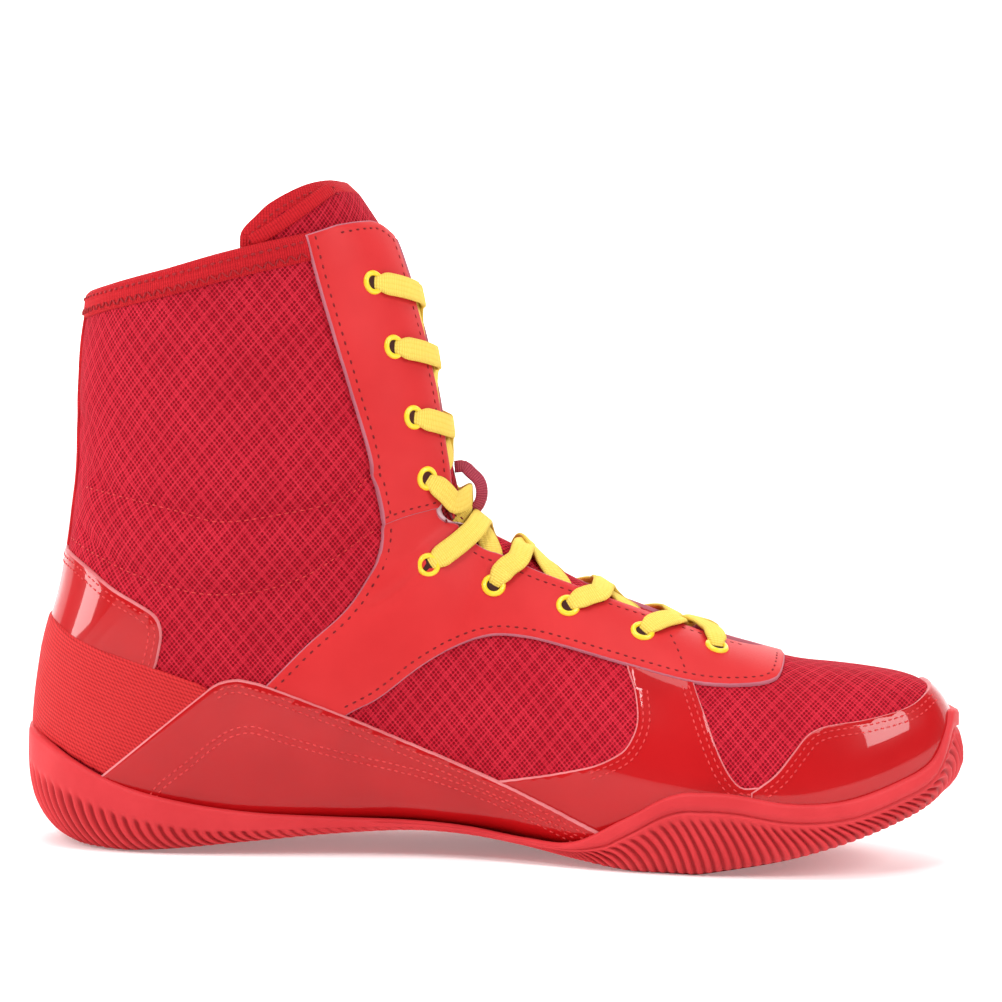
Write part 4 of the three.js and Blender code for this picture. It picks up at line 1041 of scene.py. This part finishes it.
def make_eyelets():
    ring = [(0.00205, -0.0012), (0.0021, 0.0003), (0.0024, 0.00075), (0.0029, 0.0009), (0.0034, 0.00065), (0.0037, 0.00015),
            (0.0037, -0.0002)]
    bm = bmesh.new()
    for row in range(len(EYELETS)):
        for side in (-1, 1):
            at, v = eyelet_spot(row, side)
            turn = normal_at(at, v).to_track_quat("Z", "Y").to_matrix().to_4x4()
            seat_ = Matrix.Translation(on_last(at, v, stay_lift(row))) @ turn
            verts = [bm.verts.new((radius, 0, rise)) for radius, rise in ring]
            edges = [bm.edges.new(pair) for pair in zip(verts, verts[1:])]
            made = bmesh.ops.spin(bm, geom=verts + edges, axis=(0, 0, 1), cent=(0, 0, 0), steps=24, angle=2 * pi,
                                  use_merge=True)
            new = [vert for vert in bm.verts if not vert.tag]
            # a dark disc across the ring's hole, as painted shade
            hole = bmesh.ops.create_circle(bm, cap_ends=True, segments=20, radius=0.0022,
                                           matrix=Matrix.Translation((0, 0, 0.00006)))["verts"]
            for face in {face for vert in hole for face in vert.link_faces}:
                face.material_index = 1
            new = [vert for vert in bm.verts if not vert.tag]
            bmesh.ops.transform(bm, matrix=seat_, verts=new)
            for vert in bm.verts:
                vert.tag = True
    bmesh.ops.remove_doubles(bm, verts=bm.verts[:], dist=1e-6)
    bmesh.ops.recalc_face_normals(bm, faces=bm.faces[:])
    nodes = [f"eyelet_{row + 1}_{name}" for row in range(len(EYELETS)) for name in ("medial", "lateral")]
    finish_piece(bm, "eyelet_rings", "eyelet", [EYELET, EYELET_HOLE_SHADE], *nodes)


def ribbon(stops, normals, width, thickness, narrow=(1.0, 1.0), spacing=1.2):
    """A flat woven strip along a smooth path, with rounded edges"""
    path = resample(np.array(stops), spacing * 0.001)
    shares = np.linspace(0, 1, len(stops))
    facing = np.stack([np.interp(np.linspace(0, 1, len(path)), shares, line) for line in np.array(normals).T], axis=1)
    section = [(-0.5, 0), (-0.47, 0.32), (-0.38, 0.46), (0, 0.5), (0.38, 0.46), (0.47, 0.32), (0.5, 0), (0.47, -0.32),
               (0.38, -0.46), (0, -0.5), (-0.38, -0.46), (-0.47, -0.32)]
    runs = np.gradient(path, axis=0)
    count, around = len(path) - 1, len(section)

    def place(a, b):
        i, j = round(a * count), round(b * around) % around
        run = Vector(runs[i]).normalized()
        across = run.cross(Vector(facing[i])).normalized()
        up = across.cross(run)
        ends = [float(smooth(gone * count * spacing, 1, 6)) for gone in (a, 1 - a)]
        size = (narrow[0] + (1 - narrow[0]) * ends[0]) * (narrow[1] + (1 - narrow[1]) * ends[1])
        sx, sz = section[j]
        fat = 1 + 0.5 * (1 - size)
        return Vector(path[i]) + across * (sx * width * size * 0.001) + up * (sz * thickness * fat * 0.001)

    bm = sheet(count, around, place, lambda a, b: (a * count * spacing * 0.001, b * (2 * width) * 0.001))
    bmesh.ops.remove_doubles(bm, verts=bm.verts[:], dist=1e-7)
    bmesh.ops.holes_fill(bm, edges=[edge for edge in bm.edges if edge.is_boundary])
    bmesh.ops.recalc_face_normals(bm, faces=bm.faces[:])
    return bm


LACE_CROWN = 0.0
# How much of the way to the next row a lace has gone at its own stay's edge
LACE_DROPS = [0.22, 0.22, 0.24, 0.50, 0.36, 0.36, 0.40, 0.42]


def lace_stops(row, side):
    """From a hole over its stay and the throat, then under the other stay to the next hole"""
    (at, v), (far_at, far_v) = eyelet_spot(row, side), eyelet_spot(row + 1, -side)
    near, far = abs(v), abs(far_v)
    total = (1 - near) + (1 - far)
    last = row + 2 == len(EYELETS)
    seat_, far_seat = stay_lift(row), stay_lift(row + 1)
    top = seat_ + 1.4
    weave = 0.7 if (side < 0) == (row % 2 == 0) else -0.7
    edge = (throat(at, side) - near) / total
    far_edge = 1 - (throat(far_at, -side) - far) / total
    drop = LACE_DROPS[row]

    def spot(share, lift):
        """A place on the straight line between the two holes, unrolled across the front"""
        gone = share * total
        place = side * (near + gone) if near + gone <= 1 else -side * (2 - near - gone)
        fallen = float(np.interp(share, (0, edge, 0.5, far_edge, 1), (0, drop, drop * 1.35, 0.94, 1)))
        return (at + (far_at - at) * fallen, place, lift)

    stops = [spot(0.0, seat_ - 1.8), spot(0.018, seat_ + 0.1), spot(0.075, seat_ + 1.35), spot(edge * 0.62, top + 0.1),
             spot(edge, top), spot((edge + 0.5) / 2, top - 1.3), spot(0.5, LACE_CROWN + weave)]
    if last:
        far_top = far_seat + 1.4
        stops += [spot((far_edge + 0.5) / 2, far_top - 0.2), spot(far_edge, far_top), spot(far_edge * 0.38 + 0.62, far_top + 0.1),
                  spot(0.925, far_seat + 1.35), spot(0.982, far_seat + 0.1), spot(1.0, far_seat - 1.8)]
    else:
        stops += [spot(0.5 * far_edge + 0.25, -1.2), spot(far_edge - 0.02, -1.2), spot(0.5 * far_edge + 0.5, -1.5), spot(1.0, -1.3)]
    return stops


def make_laces():
    for row in range(len(EYELETS) - 1):
        whole = bmesh.new()
        whole.loops.layers.uv.new("flat")
        for side in (-1, 1):
            stops = lace_stops(row, side)
            points = [on_last(*stop) for stop in stops]
            normals = [normal_at(at, v) for at, v, _ in stops]
            bm = ribbon(points, normals, LACE_WIDTH, LACE_THICKNESS, (0.55, 0.55 if row + 2 == len(EYELETS) else 1))
            spare = bpy.data.meshes.new("lace run")
            bm.to_mesh(spare)
            bm.free()
            whole.from_mesh(spare)
        finish_piece(whole, f"lace_{row + 1}", "lace", [LACE], f"lace_crossing_{row + 1}")


make_eyelets()
make_laces()


# Stitches
def beside(run, distance):
    """The run moved sideways over the last, by millimetres to the right as seen from outside"""
    moved = []
    for i, (at, v) in enumerate(run):
        before, after = run[max(i - 1, 0)], run[min(i + 1, len(run) - 1)]
        ahead = (on_last(*after) - on_last(*before)).normalized()
        moved.append(walk(at, v, ahead.cross(normal_at(at, v)), distance))
    return moved


def seam(bm, run, lift, pitch, length, width, height, slant=0.0):
    """Stitches at an even pitch along a run on the last"""
    points = np.array([read(LAST, at, v) for at, v in run])
    stops = np.concatenate([[0], np.cumsum(np.linalg.norm(np.diff(points, axis=0), axis=1))])
    count = int(stops[-1] / pitch)
    scale = Matrix.Diagonal((length / 2000, width / 2000, height / 2000, 1))
    for i in range(count):
        middle = (i + 0.5) * stops[-1] / count
        ends = [[float(np.interp(place, stops, line)) for line in np.array(run).T] for place in (middle - 0.6, middle + 0.6)]
        at, v = ((one + other) / 2 for one, other in zip(*ends))
        normal = normal_at(at, v)
        ahead = (on_last(*ends[1]) - on_last(*ends[0])).normalized()
        ahead = Matrix.Rotation(slant * (-1) ** i, 3, normal) @ ahead
        across = ahead.cross(normal).normalized()
        basis = Matrix((ahead, across, normal)).transposed().to_4x4()
        centre = Matrix.Translation(on_last(at, v, lift))
        bmesh.ops.create_icosphere(bm, subdivisions=1, radius=1, matrix=centre @ basis @ scale)


PUNCH = (1.5, 0.7, 0.3)
GLOSS_THREAD = (1.6, 0.6, 0.5)


def make_stitches():
    leather, gloss, cloth, trim = (bmesh.new() for _ in range(4))
    end = throat_end()
    for side in (-1, 1):
        inward = -side
        notch = inside_throat(traced(NOTCH_TOP, side), side)[-1][0]
        foot = inside_throat(traced(NOTCH_FOOT, side), side)
        stay_top = inside_throat(traced(STAY_TOP, side), side)
        rows = [
            (traced([(0.291, 1.955)] + SHAFT_STAY_BACK, side), STAY_LIFT, 2.9, -inward * 2.6),
            (traced(STAY_SEAM, side), STAY_LIFT, 2.6, -inward * 2.0),
            (stay_top, STAY_LIFT, 2.6, inward * 2.6),
            (throat_run(stay_top[-1][0], notch, side), STAY_LIFT, 2.6, inward * 3.2),
            (foot[2:], VAMP_LIFT, 2.4, inward * 2.6),
            (throat_run(foot[0][0], end + 8, side), VAMP_LIFT, 2.6, inward * 3.2),
            (traced(VAMP_STRAP_BACK[:-1], side), VAMP_LIFT, 2.9, -inward * 2.6),
            (traced(VAMP_STAY_EDGE[1:], side), VAMP_LIFT, 2.6, -inward * 2.6),
            (traced([(0.677, 0.639), (0.685, 0.596), (0.693, 0.541)], side), VAMP_LIFT, 2.6, 0)]
        for run, lift, pitch, away in rows:
            seam(leather, beside(run, away) if away else run, lift, pitch, *PUNCH)
        wing_top = traced(WING_REAR[1:], side) + traced(WING_FRONT, side)[1:]
        second = traced(WING_SECOND, side)
        for run, lift, away in (
                (wing_top, WING_LIFT, inward), (second, WING_LIFT, inward), (traced(COUNTER_TOP[1:], side), COUNTER_LIFT, inward),
                (traced(BALL_BACK[2:-2], side), BALL_LIFT, -inward), (traced(BALL_FRONT[1:-1], side), BALL_LIFT, inward),
                (traced(TOE_CAP_TOP[1:-1], side), TOE_LIFT, inward)):
            for inset in ((0.01, 1.9) if run is second else (1.9, 3.8)):
                seam(gloss, beside(run, away * inset), lift, 2.1, *GLOSS_THREAD)
        for _, _, pairs in FOLDS[:2]:
            seam(cloth, traced(pairs, side), 0.1, 2.4, 1.6, 0.5, 0.4)
        seam(trim, [binding_spot(side * c, 1.9) for c in np.linspace(0.0, 0.97, 60)], 1.4, 2.4, 1.6, 0.9, 0.5)
        seam(trim, [binding_spot(side * c, 5.9) for c in np.linspace(0.0, 0.97, 60)], 1.35, 1.7, 2.6, 0.6, 0.5, slant=0.9)
        edge = traced(TONGUE_SIDE[1:7], side)
        for inset in (3.0, 5.4):
            seam(trim, beside(edge, -inward * inset), TONGUE_LIFT + 0.1, 2.6, 1.5, 0.6, 0.4)
    # leather stitches, dark as painted shade
    finish_piece(leather, "shaded_needle_marks", "smooth_leather", [STITCH_HOLE_SHADE])
    finish_piece(gloss, "panel_stitches", "patent", [THREAD])
    finish_piece(cloth, "quilting_stitches", "mesh", [THREAD])
    finish_piece(trim, "binding_stitches", "binding", [DARK_THREAD])


make_stitches()


# Tongue loop
def make_loop():
    outer = [(0.448, 1.150), (0.458, 1.152), (0.466, 1.130), (0.475, 1.100), (0.478, 1.060), (0.476, 1.022), (0.469, 0.992), (0.460, 0.985)]
    ridge = [side_point(u, h) for u, h in outer]
    points = [world(float(x), 0, float(z)) for x, z in ridge]
    normals = []
    for i, point in enumerate(points):
        before, after = points[max(i - 1, 0)], points[min(i + 1, len(points) - 1)]
        run = (after - before).normalized()
        out = Vector((-run.z, 0, run.x))
        normals.append((out * cos(radians(28)) + Vector((0, -1, 0)) * sin(radians(28))).normalized())
    bm = ribbon(points, normals, 7.0, 0.9, spacing=1.0)
    finish_piece(bm, "loop_ribbon", "ribbon", [RIBBON], "tongue_loop")


make_loop()


def make_fold():
    """The tongue's lining folded over below its top edge, on both sides"""
    whole = bmesh.new()
    whole.loops.layers.uv.new("flat")
    for side in (-1, 1):
        run = traced([(0.238, 1.925), (0.262, 1.980), (0.292, 2.060), (0.318, 2.140)], side, 3.0)
        bm = ribbon([on_last(at, v, TONGUE_LIFT + 0.2) for at, v in run], [normal_at(at, v) for at, v in run], 4.2, 1.5)
        spare = bpy.data.meshes.new("fold")
        bm.to_mesh(spare)
        bm.free()
        whole.from_mesh(spare)
    finish_piece(whole, "tongue_fold", "binding", [BINDING])


make_fold()
insole = frame["nodes"]["insole"]
insole.data.materials.clear()
insole.data.materials.append(plain_finish("insole cloth", (0.42, 0.03, 0.04), (0.50, 0.05, 0.06), 0.85, 1200, 0.0002))

# Floor, lights and camera
floor_bm = bmesh.new()
bmesh.ops.create_grid(floor_bm, x_segments=1, y_segments=1, size=4)
floor_mesh = bpy.data.meshes.new("floor")
floor_bm.to_mesh(floor_mesh)
floor_bm.free()
floor = bpy.data.objects.new("floor", floor_mesh)
bpy.context.collection.objects.link(floor)
floor.data.materials.append(plain_finish("pale floor", (0.86, 0.86, 0.86), (0.88, 0.88, 0.88), 0.8, 300, 0.00001,
                                         Emission_Color=(1, 1, 1, 1), Emission_Strength=0.2, Specular_IOR_Level=0.1))
wall_bm = bmesh.new()
bmesh.ops.create_grid(wall_bm, x_segments=1, y_segments=1, size=8,
                      matrix=Matrix.Translation((0, 3.9, 0)) @ Matrix.Rotation(pi / 2, 4, "X"))
wall_mesh = bpy.data.meshes.new("backdrop")
wall_bm.to_mesh(wall_mesh)
wall_bm.free()
wall = bpy.data.objects.new("backdrop", wall_mesh)
bpy.context.collection.objects.link(wall)
wall.data.materials.append(Finish("white backdrop", Emission_Color=(1, 1, 1, 1), Emission_Strength=1.0).material)

bpy.context.scene.view_settings.view_transform = "Standard"
world_data = bpy.data.worlds.new("studio")
bpy.context.scene.world = world_data
world_data.use_nodes = True
world_data.node_tree.nodes["Background"].inputs["Color"].default_value = (1, 1, 1, 1)
world_data.node_tree.nodes["Background"].inputs["Strength"].default_value = 0.21


def light(name, kind, place, target, power, size=(0.1, 0.1), spread=60):
    data = bpy.data.lights.new(name, kind)
    data.energy = power
    if kind == "SUN":
        data.angle = radians(spread)
    else:
        data.shape, data.size, data.size_y = "RECTANGLE", *size
    lamp = bpy.data.objects.new(name, data)
    lamp.location = place
    lamp.rotation_euler = (Vector(target) - Vector(place)).to_track_quat("-Z", "Y").to_euler()
    bpy.context.collection.objects.link(lamp)


light("ceiling", "SUN", (-0.1, -0.2, 1.0), (0, 0, 0), 1.4, spread=40)
light("key", "SUN", (-0.45, -0.8, 0.85), (0, 0, 0), 0.85, spread=14)
light("left softbox", "AREA", (-1.0, -0.15, 0.32), (-0.1, 0, 0.08), 5, (0.32, 0.5))
light("right softbox", "AREA", (0.85, -0.6, 0.75), (0.1, 0, 0.05), 7, (0.4, 0.6))
light("back softbox", "AREA", (0.0, 1.0, 1.0), (0, 0, 0.08), 5, (1.4, 0.5))

LENS = 100
SENSOR = 36
FRAME_WIDTH = 0.3105
ROLL = radians(1.5)
RISE = radians(2.5)
distance = FRAME_WIDTH * LENS / SENSOR
aim = world(144.6, 0, 107.7)
backwards = Vector((0, -cos(RISE), sin(RISE)))
right = Vector((cos(ROLL), 0, 0)) + Vector((0, sin(RISE), cos(RISE))) * sin(ROLL)
right.normalize()
upwards = backwards.cross(right)
camera = bpy.data.objects.new("camera", bpy.data.cameras.new("camera"))
camera.data.lens, camera.data.sensor_width = LENS, SENSOR
camera.matrix_world = Matrix.Translation(aim + backwards * distance) @ Matrix((right, upwards, backwards)).transposed().to_4x4()
bpy.context.collection.objects.link(camera)
bpy.context.scene.camera = camera
